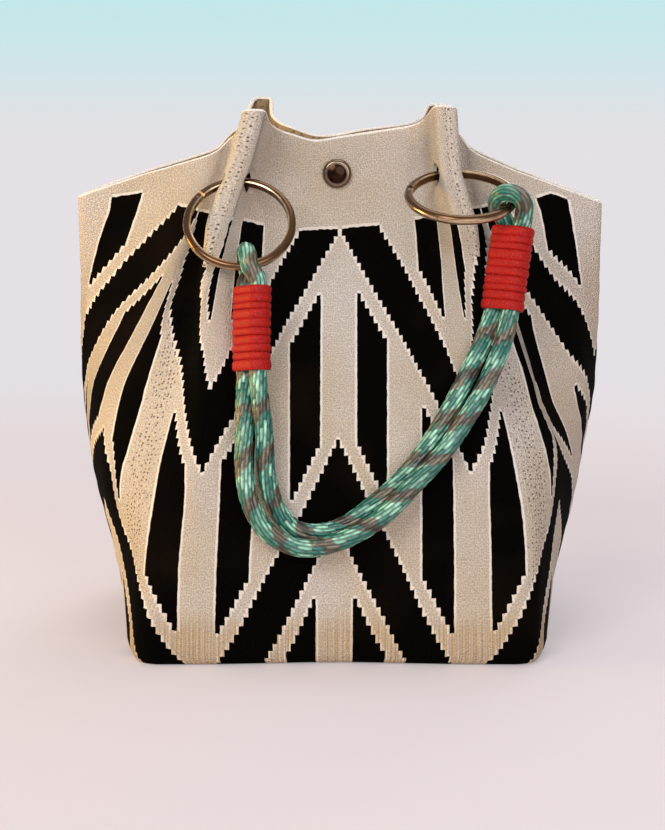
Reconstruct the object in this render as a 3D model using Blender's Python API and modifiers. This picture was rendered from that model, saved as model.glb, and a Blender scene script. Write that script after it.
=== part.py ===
"""Knitted tote bag with two ring-and-rope handles.

Metres, +Z up, front towards -Y. The origin is at the middle of the base, on the surface the bag stands on.
The knitted body is one shell. Each handle is an endless rope doubled between two spring-gate rings.
"""

import math

import bmesh
import bpy
import numpy as np
from mathutils import Matrix, Vector

MM = 0.001

# Height of the snap fastener, where the middles of both panels meet.
SNAP_HEIGHT = 258.7 * MM

# Knitted body. A quarter of the tube is described by columns of the knit, each at its distance along the fabric from
# the middle of the panel. Columns: middle, snap land, inner flank, pleat edges, valley, side bulge, side, fold.
# The two middle columns have levels of their own, which follow the snap.
WALL = 2.4 * MM
COLUMN_AT = np.array([0, 13, 40, 67.7, 81.7, 112, 149.4, 196, 228, 232]) * MM
ROUNDING = np.array([5, 5, 12, 4, 4, 10, 12, 12, 4, 4]) * MM
LEVELS = np.array([0, 50, 100, 140, 180, 230, 247, 262, 306]) * MM
MIDDLE_LEVELS = np.append(LEVELS[:5], SNAP_HEIGHT + np.array([-28.7, -11.7, 3.3, 47.3]) * MM)

MIDDLE_Y = np.array([-102, -101, -94, -81, -60, -19, -7.0, -6.0, -5.4]) * MM
FLANK_Y = np.array([-104, -102, -97, -86, -67, -34, -20, -11, -8]) * MM
PLEAT_Y = np.array([-105, -103, -99, -92, -80, -62, -56, -50, -42]) * MM
FOLD_Y = 4.4 * MM

PLEAT_WIDTH = 13 * MM
SNAP_LAND = 12.5 * MM

LEFT = {
    "flank_x": np.array([41, 40.5, 39, 38.5, 38, 38, 37, 36.5, 34]) * MM,
    "pleat_x": np.array([71, 70.5, 69, 67.5, 68, 65, 60.5, 54.5, 42]) * MM,
    "valley": (np.array([108, 106, 98, 88, 80, 72.5, 68, 62, 50]) * MM,
               np.array([-105, -101, -92, -76, -50, -24, -16, -10, -8]) * MM),
    "bulge": (np.array([116, 119, 127, 119, 103, 82, 76, 70, 62]) * MM,
              np.array([-70, -71, -67, -60, -50, -32, -22, -14, -8]) * MM),
    "side": (np.array([116.5, 128, 139, 138, 130, 115, 109.5, 105, 100]) * MM,
             np.array([-30, -31, -30, -28, -25, -14, -10.5, -8.5, -7]) * MM),
    "fold_x": np.array([115.5, 131, 142.5, 147, 147.5, 147, 147, 146.5, 146]) * MM,
    "top": np.append(SNAP_HEIGHT + np.array([20.8, 18.5]) * MM,
                     np.array([284.5, 295.5, 296, 283, 271, 260, 246, 245.5]) * MM),
    "back_rise": np.array([1, 3, 4, 6, 6, 4, 2, 1.5, 0.7, 0]) * MM,
}
RIGHT = {
    "flank_x": np.array([41, 40.5, 41, 42, 43, 46, 46.5, 47, 45]) * MM,
    "pleat_x": np.array([71, 71, 71, 71.5, 72, 70.5, 66, 62, 58.5]) * MM,
    "valley": (np.array([108, 107, 100, 92, 84, 76, 72, 69, 66]) * MM,
               np.array([-105, -101, -92, -74, -46, -20, -13, -10, -8]) * MM),
    "bulge": (np.array([116, 119, 119, 112, 101, 84, 80, 77, 73]) * MM,
              np.array([-70, -71, -68, -58, -42, -24, -16, -12, -8]) * MM),
    "side": (np.array([116.5, 128, 138, 139, 133, 120, 114, 110, 106]) * MM,
             np.array([-30, -31, -30, -28, -24, -14, -10.5, -8.5, -7]) * MM),
    "fold_x": np.array([113.5, 132, 143, 149, 150, 150.5, 150.5, 150.5, 150]) * MM,
    "top": np.append(SNAP_HEIGHT + np.array([20.8, 22.8]) * MM,
                     np.array([286.5, 298, 297.5, 284, 271.5, 257, 242.5, 242]) * MM),
    "back_rise": np.array([1, 2, 1, 0, 0, 1, 2, 1.5, 0.7, 0]) * MM,
}

# Rows of the mesh, as shares of each column's height. Two of them frame the snap.
BASE_ROUND = 6 * MM
SNAP_ROWS = 10.6 * MM
ROW_SHARES = np.sort(np.append([0, 0.007, 0.022, 0.085, 0.165, 0.255, 0.345, 0.435, 0.525, 0.61, 0.69, 0.765, 0.83, 1],
                               (SNAP_HEIGHT + np.array([-SNAP_ROWS, SNAP_ROWS])) / LEFT["top"][0]))
QUARTER_COLUMNS = np.array([0, 9, 18, 29, 40, 52, 61, 66.5, 70.5, 74.7, 78.9, 82.9, 88, 100, 112, 124, 137, 150, 168,
                            186, 203, 217, 226, 230.5]) * MM
SMOOTHING_SAMPLES = 9

# Fits.
GAP = 0.3 * MM

# Rings: round bar, a gate on a pin, and the eye where the bar passes through the pleat.
RING_RADIUS = 28 * MM
BAR_RADIUS = 2.6 * MM
EYE_RADIUS = 6.3 * MM
EYE_DEPTH = PLEAT_WIDTH + 16 * MM
LEFT_EYE = Vector((-56.5, -44.0, 255.5)) * MM
RIGHT_EYE = Vector((62.5, -41.6, 260.0)) * MM
LEFT_HANG = Vector((0.136, -0.636, -0.761))
RIGHT_HANG = Vector((0.15, -0.91, -0.387))
LEFT_TURN = Vector((1.0, 0.1, 0.08))
RIGHT_TURN = Vector((1.0, 0.12, 0.04))
LEFT_GATE_AT = 138.0
RIGHT_GATE_AT = 165.0
GATE_SPAN = 72.0
BAR_STEP = 10.0
BAR_SIDES = 10
TONGUE = 2.0 * MM
TONGUE_REACH = 3.2 * MM
CHEEK_REACH = 2.6 * MM
SLOT_REACH = 6.2 * MM
PIN_RADIUS = 0.7 * MM
PIN_CLEARANCE = 0.05 * MM
SPRING_RADIUS = 0.8 * MM
SPRING_WIRE = 0.17 * MM
SPRING_TURNS = 3
SPRING_POINTS = 6

# Rope: one endless rope, doubled. Its ends butt inside the left whipping.
ROPE_RADIUS = 4.8 * MM
ROPE_BUTT = 0.5 * MM
ROPE_SPACING = 3 * ROPE_RADIUS
CHORD_PER_BEND = 0.48
LOOP_START = -20
ROPE_SIDE_RESOLUTION = 2
STRAND_GAP = 0.35 * MM
STRAND_SHARES = (-0.04, 0.12, 0.5, 0.88, 1.02)
WHIP_LENGTH = 45 * MM
WHIP_GAP = 0.45 * MM
WHIP_THICKNESS = 1.4 * MM

# Where each whipping starts and ends on its axis, and the direction from strand to strand in it.
LEFT_WHIP = (Vector((-45.2, -84.8, 202.5)) * MM, Vector((-0.001, -0.225, -1.0)), Vector((0.67, -0.74, 0.0)))
RIGHT_WHIP = (Vector((94.4, -73.0, 233.0)) * MM, Vector((-0.15, -0.225, -1.0)), Vector((0.86, -0.5, 0.0)))

# The free runs of the rope between the whippings, from left to right.
OUTER_RUN = [(-48.6, -93, 152), (-48.7, -96.8, 145), (-49, -104.5, 126), (-48.8, -108.5, 107), (-45.8, -110.5, 91),
             (-39.5, -112.5, 79), (-30, -114, 71), (-19.5, -115, 67.5), (-7.4, -115.5, 68.6), (6, -115.5, 73),
             (23.6, -115, 84), (41.5, -112.5, 102), (56.8, -108.5, 118.5), (67, -104.5, 133), (76, -100, 147),
             (84, -94, 163), (89.5, -88, 177)]
INNER_RUN = [(-41.4, -100.2, 151.5), (-40.4, -102.4, 143), (-38.3, -104.5, 126), (-37.3, -105.5, 107),
             (-34, -105.8, 92), (-29, -106, 82), (-20.8, -105.8, 75), (-9, -105.5, 73.5), (4, -105.4, 77.5),
             (18.5, -105.2, 88), (30.5, -104.6, 98.5), (42, -103, 111), (52.5, -101, 126.5), (60.5, -99, 140),
             (68.5, -95.5, 155.5), (76.8, -88, 171.5)]

# Snap fastener, closed: cap, socket and stud on the middle line.
CAP_RADIUS = 8.25 * MM
CAP_HEIGHT = 3.4 * MM
CAP_RIM = 0.9 * MM
CAP_SEAT = 1.4 * MM
POST_RADIUS = 1.6 * MM
POST_HOLE_RADIUS = 2.0 * MM
FASTENER_RADIUS = 6.0 * MM
SOCKET_BORE = 2.7 * MM
SOCKET_FLOOR = 1.2 * MM
STUD_RADIUS = 2.3 * MM
STUD_BASE = 1.3 * MM
ROUND_STEPS = 24


def clear_scene():
    for item in list(bpy.data.objects):
        bpy.data.objects.remove(item, do_unlink=True)


def new_collection(name):
    collection = bpy.data.collections.new(name)
    bpy.context.scene.collection.children.link(collection)
    return collection


def new_material(name, colour, roughness, metallic=0.0):
    material = bpy.data.materials.new(name)
    material.use_nodes = True
    shader = material.node_tree.nodes["Principled BSDF"]
    shader.inputs["Base Color"].default_value = (*colour, 1.0)
    shader.inputs["Roughness"].default_value = roughness
    shader.inputs["Metallic"].default_value = metallic
    material.diffuse_color = (*colour, 1.0)
    return material


def add_object(name, data, collection, material=None, matrix=None):
    item = bpy.data.objects.new(name, data)
    collection.objects.link(item)
    if matrix is not None:
        item.matrix_world = matrix
    if material is not None:
        data.materials.clear()
        data.materials.append(material)
    return item


def cut(target, cutter):
    cutter.hide_render = True
    cutter.display_type = "WIRE"
    boolean = target.modifiers.new("cut", "BOOLEAN")
    boolean.operation = "DIFFERENCE"
    boolean.solver = "EXACT"
    boolean.object = cutter


def cylinder_mesh(name, radius, length, steps=ROUND_STEPS):
    """A cylinder along Z with its middle at the origin."""
    mesh = bpy.data.meshes.new(name)
    shape = bmesh.new()
    bmesh.ops.create_cone(shape, cap_ends=True, segments=steps, radius1=radius, radius2=radius, depth=length)
    shape.to_mesh(mesh)
    shape.free()
    return mesh


def box_mesh(name, size):
    mesh = bpy.data.meshes.new(name)
    shape = bmesh.new()
    bmesh.ops.create_cube(shape, size=1.0)
    bmesh.ops.scale(shape, vec=Vector(size), verts=shape.verts)
    shape.to_mesh(mesh)
    shape.free()
    return mesh


def along(direction, at):
    """A matrix that turns +Z to the direction and moves the origin to the point."""
    turn = Vector(direction).normalized().to_track_quat("Z", "Y").to_matrix().to_4x4()
    return Matrix.Translation(at) @ turn


def smooth_levels(values, heights, levels=LEVELS):
    """Values given at levels, read at other heights on a monotone cubic, so no section swings past its neighbours."""
    step = np.diff(levels)
    slope = np.diff(values) / step
    tangent = np.zeros_like(values)
    same = slope[:-1] * slope[1:] > 0
    weight_1 = 2 * step[1:] + step[:-1]
    weight_2 = step[1:] + 2 * step[:-1]
    safe_1 = np.where(same, slope[:-1], 1.0)
    safe_2 = np.where(same, slope[1:], 1.0)
    tangent[1:-1] = np.where(same, (weight_1 + weight_2) / (weight_1 / safe_1 + weight_2 / safe_2), 0.0)
    tangent[0], tangent[-1] = slope[0], slope[-1]
    place = np.clip(np.searchsorted(levels, heights, side="right") - 1, 0, len(step) - 1)
    t = (heights - levels[place]) / step[place]
    h00, h10 = 2 * t**3 - 3 * t**2 + 1, t**3 - 2 * t**2 + t
    h01, h11 = 3 * t**2 - 2 * t**3, t**3 - t**2
    return (h00 * values[place] + h10 * step[place] * tangent[place]
            + h01 * values[place + 1] + h11 * step[place] * tangent[place + 1])


def section_corners(half, heights):
    """The corners of a quarter section, from the middle of the panel to the side fold, at each height: x and y."""
    valley_x, valley_y = half["valley"]
    bulge_x, bulge_y = half["bulge"]
    side_x, side_y = half["side"]
    pleat_half = PLEAT_WIDTH / 2
    zero = np.zeros_like(LEVELS)
    xs = [zero, zero + SNAP_LAND, half["flank_x"], half["pleat_x"] - pleat_half, half["pleat_x"] + pleat_half,
          valley_x, bulge_x, side_x, half["fold_x"], half["fold_x"] + 1.2 * MM]
    ys = [MIDDLE_Y, MIDDLE_Y - 0.3 * MM, FLANK_Y, PLEAT_Y, PLEAT_Y, valley_y, bulge_y, side_y, zero - FOLD_Y, zero]
    x = np.stack([smooth_levels(column, heights) for column in xs], -1)
    y = np.stack([smooth_levels(column, heights, MIDDLE_LEVELS if i < 2 else LEVELS)
                  for i, column in enumerate(ys)], -1)
    return x, y


def body_point(across, heights, front):
    """Points of the body's outer face. Across is the signed distance along the knit from the middle of a panel,
    right positive. Corners are joined by straight runs, then rounded by averaging over a window along the knit."""
    fold_at = COLUMN_AT[-1]
    window = np.interp(np.abs(across), COLUMN_AT, ROUNDING)
    offsets = np.linspace(-1, 1, SMOOTHING_SAMPLES)
    total = np.zeros(across.shape + (2,))
    for offset in offsets:
        place = across + offset * window
        past = np.abs(place) > fold_at
        place = np.where(past, np.sign(place) * 2 * fold_at - place, place)
        point = np.zeros_like(total)
        for half, sign in ((LEFT, -1), (RIGHT, 1)):
            x, y = section_corners(half, heights)
            index = np.clip(np.searchsorted(COLUMN_AT, np.abs(place), side="right") - 1, 0, len(COLUMN_AT) - 2)
            share = (np.abs(place) - COLUMN_AT[index]) / (COLUMN_AT[index + 1] - COLUMN_AT[index])
            lower = np.take_along_axis(x, index[:, None], 1)[:, 0], np.take_along_axis(y, index[:, None], 1)[:, 0]
            upper = (np.take_along_axis(x, index[:, None] + 1, 1)[:, 0],
                     np.take_along_axis(y, index[:, None] + 1, 1)[:, 0])
            here = (place >= 0) if sign > 0 else (place < 0)
            point[here, 0] = (sign * (lower[0] + share * (upper[0] - lower[0])))[here]
            point[here, 1] = ((lower[1] + share * (upper[1] - lower[1])) * np.where(past, -1, 1))[here]
        total += point
    total /= len(offsets)
    if not front:
        total[:, 1] *= -1
    return total


def top_edge(across, front):
    """Height of the top edge at each column."""
    left = np.interp(-across, COLUMN_AT, LEFT["top"])
    right = np.interp(across, COLUMN_AT, RIGHT["top"])
    if not front:
        left = left + np.interp(-across, COLUMN_AT, LEFT["back_rise"])
        right = right + np.interp(across, COLUMN_AT, RIGHT["back_rise"])
    return np.where(across < 0, left, right)


def body_columns():
    """Signed columns round the tube: the front panel left to right, then the back panel right to left."""
    fold_at = COLUMN_AT[-1]
    panel = np.concatenate([-QUARTER_COLUMNS[:0:-1], QUARTER_COLUMNS])
    front = [(value, True) for value in panel] + [(fold_at, True)]
    back = [(value, False) for value in panel[::-1]] + [(-fold_at, False)]
    return front + back


def make_body(collection, material):
    columns = body_columns()
    rows = len(ROW_SHARES)
    shape = bmesh.new()
    grid = []
    for across, front in columns:
        top = float(top_edge(np.array([across]), front)[0])
        heights = ROW_SHARES * top
        points = body_point(np.full(rows, across), heights, front)
        inset = BASE_ROUND * (1 - np.sqrt(np.clip(1 - (1 - np.clip(heights / BASE_ROUND, 0, 1)) ** 2, 0, 1)))
        reach = np.linalg.norm(points, axis=1)
        points *= ((reach - inset) / reach)[:, None]
        grid.append([shape.verts.new((x, y, z)) for (x, y), z in zip(points, heights)])
    count = len(grid)
    for i in range(count):
        following = grid[(i + 1) % count]
        for j in range(rows - 1):
            shape.faces.new((grid[i][j], following[j], following[j + 1], grid[i][j + 1]))
    rim = [column[0] for column in grid]
    shape.faces.new(rim[::-1])
    mesh = bpy.data.meshes.new("knit_body")
    shape.to_mesh(mesh)
    shape.free()
    body = add_object("knit_body", mesh, collection, material)
    wall = body.modifiers.new("wall", "SOLIDIFY")
    wall.thickness = WALL
    wall.offset = -1.0
    return body


def ring_frame(eye, hang, turn):
    """Ring axes in world: X along the bar at the eye, Y from the ring's centre to the eye, and its matrix."""
    to_eye = -Vector(hang).normalized()
    bar = Vector(turn)
    bar = (bar - to_eye * bar.dot(to_eye)).normalized()
    normal = bar.cross(to_eye)
    centre = Vector(eye) - to_eye * RING_RADIUS
    matrix = Matrix((bar, to_eye, normal)).transposed().to_4x4()
    matrix.translation = centre
    return matrix


def arc_points(start, end):
    """Points on the ring's centre line between two angles, in degrees."""
    count = max(2, round(abs(end - start) / BAR_STEP) + 1)
    angles = np.radians(np.linspace(start, end, count))
    return [Vector((RING_RADIUS * math.cos(a), RING_RADIUS * math.sin(a), 0.0)) for a in angles]


def tube_mesh(name, points, radius, sides=BAR_SIDES):
    """A round bar along the points: a poly curve with filled caps, turned into a mesh with its caps welded."""
    curve = bpy.data.curves.new(name, "CURVE")
    curve.dimensions = "3D"
    curve.bevel_depth = radius
    curve.bevel_resolution = sides // 2 - 2
    curve.use_fill_caps = True
    spline = curve.splines.new("POLY")
    spline.points.add(len(points) - 1)
    for place, point in zip(spline.points, points):
        place.co = (*point, 1.0)
    holder = bpy.data.objects.new(name, curve)
    bpy.context.scene.collection.objects.link(holder)
    bpy.context.view_layer.update()
    evaluated = holder.evaluated_get(bpy.context.evaluated_depsgraph_get())
    mesh = bpy.data.meshes.new_from_object(evaluated)
    mesh.name = name
    bpy.data.objects.remove(holder, do_unlink=True)
    bpy.data.curves.remove(curve)
    shape = bmesh.new()
    shape.from_mesh(mesh)
    bmesh.ops.remove_doubles(shape, verts=shape.verts, dist=0.00001)
    bmesh.ops.recalc_face_normals(shape, faces=shape.faces)
    shape.to_mesh(mesh)
    shape.free()
    mesh.shade_smooth()
    mesh.set_sharp_from_angle(angle=math.radians(40))
    return mesh


def at_angle(angle, radius=RING_RADIUS):
    a = math.radians(angle)
    return Vector((radius * math.cos(a), radius * math.sin(a), 0.0))


def tangent_matrix(angle, shift):
    """Local frame at a ring angle, X along the bar in the direction of rising angle, moved on along X by shift."""
    turn = Matrix.Rotation(math.radians(angle + 90), 4, "Z")
    return Matrix.Translation(at_angle(angle)) @ turn @ Matrix.Translation((shift, 0, 0))


def seam_matrix(gate_at):
    """Local frame at the gate's nose, X along the chord from the pin. The seam lies across that chord, so that the
    nose leaves the ring freely as the gate swings in."""
    pin, nose = at_angle(gate_at), at_angle(gate_at + GATE_SPAN)
    chord = nose - pin
    return Matrix.Translation(nose) @ Matrix.Rotation(math.atan2(chord.y, chord.x), 4, "Z")


def make_ring(prefix, matrix, gate_at, parts, cutters, steel, spring_steel):
    """A spring-gate ring: frame, gate, pin and spring. The gate runs from its pin towards rising angles."""
    nose_at = gate_at + GATE_SPAN
    spare = math.degrees(3 * BAR_RADIUS / RING_RADIUS)
    tongue_end = math.degrees(TONGUE_REACH / RING_RADIUS)
    cheek_end = math.degrees(CHEEK_REACH / RING_RADIUS)
    pin_matrix = matrix @ tangent_matrix(gate_at, 0)
    nose_matrix = matrix @ seam_matrix(gate_at)
    wide = 6 * BAR_RADIUS

    def cutter(label, mesh, place):
        return add_object(f"{prefix}_{label}", mesh, cutters, matrix=place)

    bore = cutter("pin_bore", cylinder_mesh("pin_bore", PIN_RADIUS + PIN_CLEARANCE, 4 * BAR_RADIUS, 16), pin_matrix)

    name = prefix + "_ring"
    frame = add_object(name, tube_mesh(name, arc_points(nose_at - spare, gate_at + 360 + tongue_end), BAR_RADIUS),
                       parts, steel, matrix)
    shoulder = math.hypot(CHEEK_REACH, BAR_RADIUS) + GAP
    block_length = shoulder + TONGUE_REACH + 2 * GAP
    block_middle = (TONGUE_REACH + 2 * GAP - shoulder) / 2
    for label, side in (("under", -1), ("over", 1)):
        lift = side * (TONGUE / 2 + BAR_RADIUS)
        block = box_mesh("tongue_block", (block_length, 4 * BAR_RADIUS, 2 * BAR_RADIUS))
        place = pin_matrix @ Matrix.Translation((block_middle, 0, lift))
        cut(frame, cutter(f"tongue_{label}", block, place))
    cut(frame, bore)
    behind = nose_matrix @ Matrix.Translation((GAP - wide / 2, 0, 0))
    cut(frame, cutter("frame_seam", box_mesh("frame_seam", (wide, wide, wide)), behind))

    name = prefix + "_gate"
    gate = add_object(name, tube_mesh(name, arc_points(gate_at - cheek_end, nose_at + spare), BAR_RADIUS),
                      parts, steel, matrix)
    slot = box_mesh("slot", (CHEEK_REACH + GAP + SLOT_REACH, 4 * BAR_RADIUS, TONGUE + 2 * GAP))
    slot_middle = (SLOT_REACH - CHEEK_REACH - GAP) / 2
    cut(gate, cutter("gate_slot", slot, pin_matrix @ Matrix.Translation((slot_middle, 0, 0))))
    cut(gate, bore)
    ahead = nose_matrix @ Matrix.Translation((wide / 2, 0, 0))
    cut(gate, cutter("gate_seam", box_mesh("gate_seam", (wide, wide, wide)), ahead))

    add_object(prefix + "_gate_pin", cylinder_mesh("gate_pin", PIN_RADIUS, 2 * BAR_RADIUS, 16), parts, steel,
               pin_matrix)
    add_object(prefix + "_gate_spring", spring_mesh(), parts, spring_steel,
               pin_matrix @ Matrix.Translation((TONGUE_REACH + GAP, 0, 0)))


def spring_mesh():
    """A small coil along X, between the tongue's end and the floor of the gate's slot."""
    length = SLOT_REACH - TONGUE_REACH - 2 * GAP - 2 * SPRING_WIRE
    count = SPRING_TURNS * SPRING_POINTS + 1
    t = np.linspace(0, 1, count)
    angle = t * SPRING_TURNS * 2 * math.pi
    points = [Vector((SPRING_WIRE + length * s, SPRING_RADIUS * math.cos(a), SPRING_RADIUS * math.sin(a)))
              for s, a in zip(t, angle)]
    return tube_mesh("gate_spring", points, SPRING_WIRE, 6)


def smooth_route(points, spacing):
    """Points on a centripetal Catmull-Rom curve through the route's own points, closer together in tight bends."""
    route = np.array([list(p) for p in points])
    route = np.vstack([2 * route[0] - route[1], route, 2 * route[-1] - route[-2]])
    fine = []
    for i in range(1, len(route) - 2):
        p0, p1, p2, p3 = route[i - 1:i + 3]
        knot = np.concatenate([[0], np.cumsum(np.sqrt(np.linalg.norm([p1 - p0, p2 - p1, p3 - p2], axis=1)))])
        t = np.linspace(knot[1], knot[2], 24, endpoint=False)[:, None]
        a1 = (knot[1] - t) / (knot[1] - knot[0]) * p0 + (t - knot[0]) / (knot[1] - knot[0]) * p1
        a2 = (knot[2] - t) / (knot[2] - knot[1]) * p1 + (t - knot[1]) / (knot[2] - knot[1]) * p2
        a3 = (knot[3] - t) / (knot[3] - knot[2]) * p2 + (t - knot[2]) / (knot[3] - knot[2]) * p3
        b1 = (knot[2] - t) / (knot[2] - knot[0]) * a1 + (t - knot[0]) / (knot[2] - knot[0]) * a2
        b2 = (knot[3] - t) / (knot[3] - knot[1]) * a2 + (t - knot[1]) / (knot[3] - knot[1]) * a3
        fine.append((knot[2] - t) / (knot[2] - knot[1]) * b1 + (t - knot[1]) / (knot[2] - knot[1]) * b2)
    fine = np.vstack(fine + [route[-2][None]])
    run = np.linalg.norm(np.diff(fine, axis=0), axis=1)
    fine = fine[np.concatenate([[True], run > 1e-7])]
    run = np.diff(fine, axis=0)
    step = np.linalg.norm(run, axis=1)
    heading = run / step[:, None]
    turn = np.zeros(len(step))
    turn[1:] = np.linalg.norm(np.diff(heading, axis=0), axis=1) / ((step[1:] + step[:-1]) / 2)
    turn = np.convolve(np.pad(turn, 6, mode="edge"), np.ones(13) / 13, mode="valid")
    density = np.hypot(1 / spacing, turn / CHORD_PER_BEND)
    needed = np.concatenate([[0], np.cumsum(density * step)])
    wanted = np.linspace(0, needed[-1], max(2, math.ceil(needed[-1]) + 1))
    return [Vector([np.interp(s, needed, fine[:, k]) for k in range(3)]) for s in wanted]


def whip_axes(whip):
    """Start, direction along the whipping, and the unit direction from its first strand to its second."""
    start, direction, across = whip
    direction = direction.normalized()
    across = (across - direction * across.dot(direction)).normalized()
    return start, direction, across


def strands(whip):
    """Points down the middle of the first and the second strand in a whipping, from top to bottom."""
    start, direction, across = whip_axes(whip)
    apart = across * (ROPE_RADIUS + STRAND_GAP / 2)
    return [[start + apart * side + direction * (WHIP_LENGTH * share) for share in STRAND_SHARES] for side in (-1, 1)]


def loop_points(wire, bar, first, second, steps=9):
    """The rope's turn over a ring bar, square to the bar: up from the first strand, over it and down to the second."""
    rise = wire - (first + second) / 2
    rise = (rise - bar * rise.dot(bar)).normalized()
    across = second - first
    across = (across - bar * across.dot(bar) - rise * across.dot(rise)).normalized()
    reach = BAR_RADIUS + ROPE_RADIUS + STRAND_GAP
    turn = []
    for degrees in np.linspace(LOOP_START, 180 - LOOP_START, steps):
        angle = math.radians(degrees)
        turn.append(wire - across * (reach * math.cos(angle)) + rise * (reach * math.sin(angle)))
    return turn


def mirrored(point, side):
    return Vector((point[0], point[1] * side, point[2]))


def rope_route(left_bar, right_bar):
    """The rope's whole centre line: down the outer run, round the right ring, back on the inner run, round the left."""
    left_first, left_second = strands(LEFT_WHIP)
    right_first, right_second = strands(RIGHT_WHIP)
    outer = [Vector(p) * MM for p in OUTER_RUN]
    inner = [Vector(p) * MM for p in INNER_RUN]
    middle = len(STRAND_SHARES) // 2
    half_butt = (left_first[-1] - left_first[0]).normalized() * ROPE_BUTT / 2
    route = [left_first[middle] + half_butt] + left_first[middle + 1:] + outer + right_second[::-1]
    route += loop_points(*right_bar, right_second[0], right_first[0])
    route += right_first + inner[::-1] + left_second[::-1]
    route += loop_points(*left_bar, left_second[0], left_first[0])
    route += left_first[:middle] + [left_first[middle] - half_butt]
    return route


def stadium(half_length, radius, steps=10):
    """The outline of a slot with round ends, as flat points."""
    right = [(half_length + radius * math.cos(a), radius * math.sin(a))
             for a in np.linspace(-math.pi / 2, math.pi / 2, steps)]
    left = [(-half_length + radius * math.cos(a), radius * math.sin(a))
            for a in np.linspace(math.pi / 2, 3 * math.pi / 2, steps)]
    return right + left


def whipping_curve(name):
    """Cord wound round both strands: an oval sleeve, drawn as a flat outline with a hole and given its length."""
    curve = bpy.data.curves.new(name, "CURVE")
    curve.dimensions = "2D"
    curve.fill_mode = "BOTH"
    curve.extrude = WHIP_LENGTH / 2
    half_length = ROPE_RADIUS + STRAND_GAP / 2
    inner = ROPE_RADIUS + WHIP_GAP
    for outline in (stadium(half_length, inner + WHIP_THICKNESS), stadium(half_length, inner)):
        spline = curve.splines.new("POLY")
        spline.points.add(len(outline) - 1)
        for place, point in zip(spline.points, outline):
            place.co = (*point, 0.0, 1.0)
        spline.use_cyclic_u = True
    return curve


def whip_matrix(whip, side):
    start, direction, across = whip_axes(whip)
    start, direction, across = (mirrored(v, side) for v in (start, direction, across))
    normal = direction.cross(across)
    matrix = Matrix((across, -normal, -direction)).transposed().to_4x4()
    matrix.translation = start + direction * WHIP_LENGTH / 2
    return matrix


def rope_object(name, route, collection, material):
    curve = bpy.data.curves.new(name, "CURVE")
    curve.dimensions = "3D"
    curve.bevel_depth = ROPE_RADIUS
    curve.bevel_resolution = ROPE_SIDE_RESOLUTION
    curve.use_fill_caps = True
    points = smooth_route(route, ROPE_SPACING)
    spline = curve.splines.new("POLY")
    spline.points.add(len(points) - 1)
    for place, point in zip(spline.points, points):
        place.co = (*point, 1.0)
    return add_object(name, curve, collection, material)


def bar_at(matrix, whip):
    """The place on a ring's bar nearest to the top of a whipping, and the bar's direction there."""
    local = matrix.inverted() @ whip[0]
    angle = math.degrees(math.atan2(local.y, local.x))
    return matrix @ at_angle(angle), (matrix.to_3x3() @ at_angle(angle + 90)).normalized()


def make_handle(name, side, parts, cutters, finish):
    """One handle, in front (side 1) or mirrored to the back (side -1)."""
    for place, eye, hang, turn, gate_at in (("left", LEFT_EYE, LEFT_HANG, LEFT_TURN, LEFT_GATE_AT),
                                            ("right", RIGHT_EYE, RIGHT_HANG, RIGHT_TURN, RIGHT_GATE_AT)):
        matrix = ring_frame(mirrored(eye, side), mirrored(hang, side), mirrored(turn, side))
        make_ring(f"{name}_{place}", matrix, gate_at, parts, cutters, finish["steel"], finish["spring"])
    left_bar = bar_at(ring_frame(LEFT_EYE, LEFT_HANG, LEFT_TURN), LEFT_WHIP)
    right_bar = bar_at(ring_frame(RIGHT_EYE, RIGHT_HANG, RIGHT_TURN), RIGHT_WHIP)
    route = [mirrored(point, side) for point in rope_route(left_bar, right_bar)]
    rope_object(f"{name}_rope", route, parts, finish["rope"])
    for place, whip in (("left", LEFT_WHIP), ("right", RIGHT_WHIP)):
        label = f"{name}_{place}_whipping"
        add_object(label, whipping_curve(label), parts, finish["whipping"], whip_matrix(whip, side))


def cut_eyes(body, cutters):
    """Holes through both flanks of each pleat, in line with both eyes of a handle."""
    for side in (1, -1):
        left, right = mirrored(LEFT_EYE, side), mirrored(RIGHT_EYE, side)
        for eye in (left, right):
            hole = add_object("eye_cutter", cylinder_mesh("eye_cutter", EYE_RADIUS, EYE_DEPTH, 20), cutters,
                              matrix=along(right - left, eye))
            cut(body, hole)


def turned_mesh(name, profile, steps=ROUND_STEPS):
    """A profile of (radius, height) pairs turned about Z, as a closed mesh."""
    shape = bmesh.new()
    verts = [shape.verts.new((r, 0, z)) for r, z in profile]
    edges = [shape.edges.new((verts[i], verts[i + 1])) for i in range(len(verts) - 1)]
    bmesh.ops.spin(shape, geom=verts + edges, cent=(0, 0, 0), axis=(0, 0, 1), angle=2 * math.pi, steps=steps,
                   use_duplicate=False)
    bmesh.ops.remove_doubles(shape, verts=shape.verts, dist=0.00001)
    bmesh.ops.recalc_face_normals(shape, faces=shape.faces)
    mesh = bpy.data.meshes.new(name)
    shape.to_mesh(mesh)
    shape.free()
    mesh.shade_smooth()
    mesh.set_sharp_from_angle(angle=math.radians(35))
    return mesh


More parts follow.
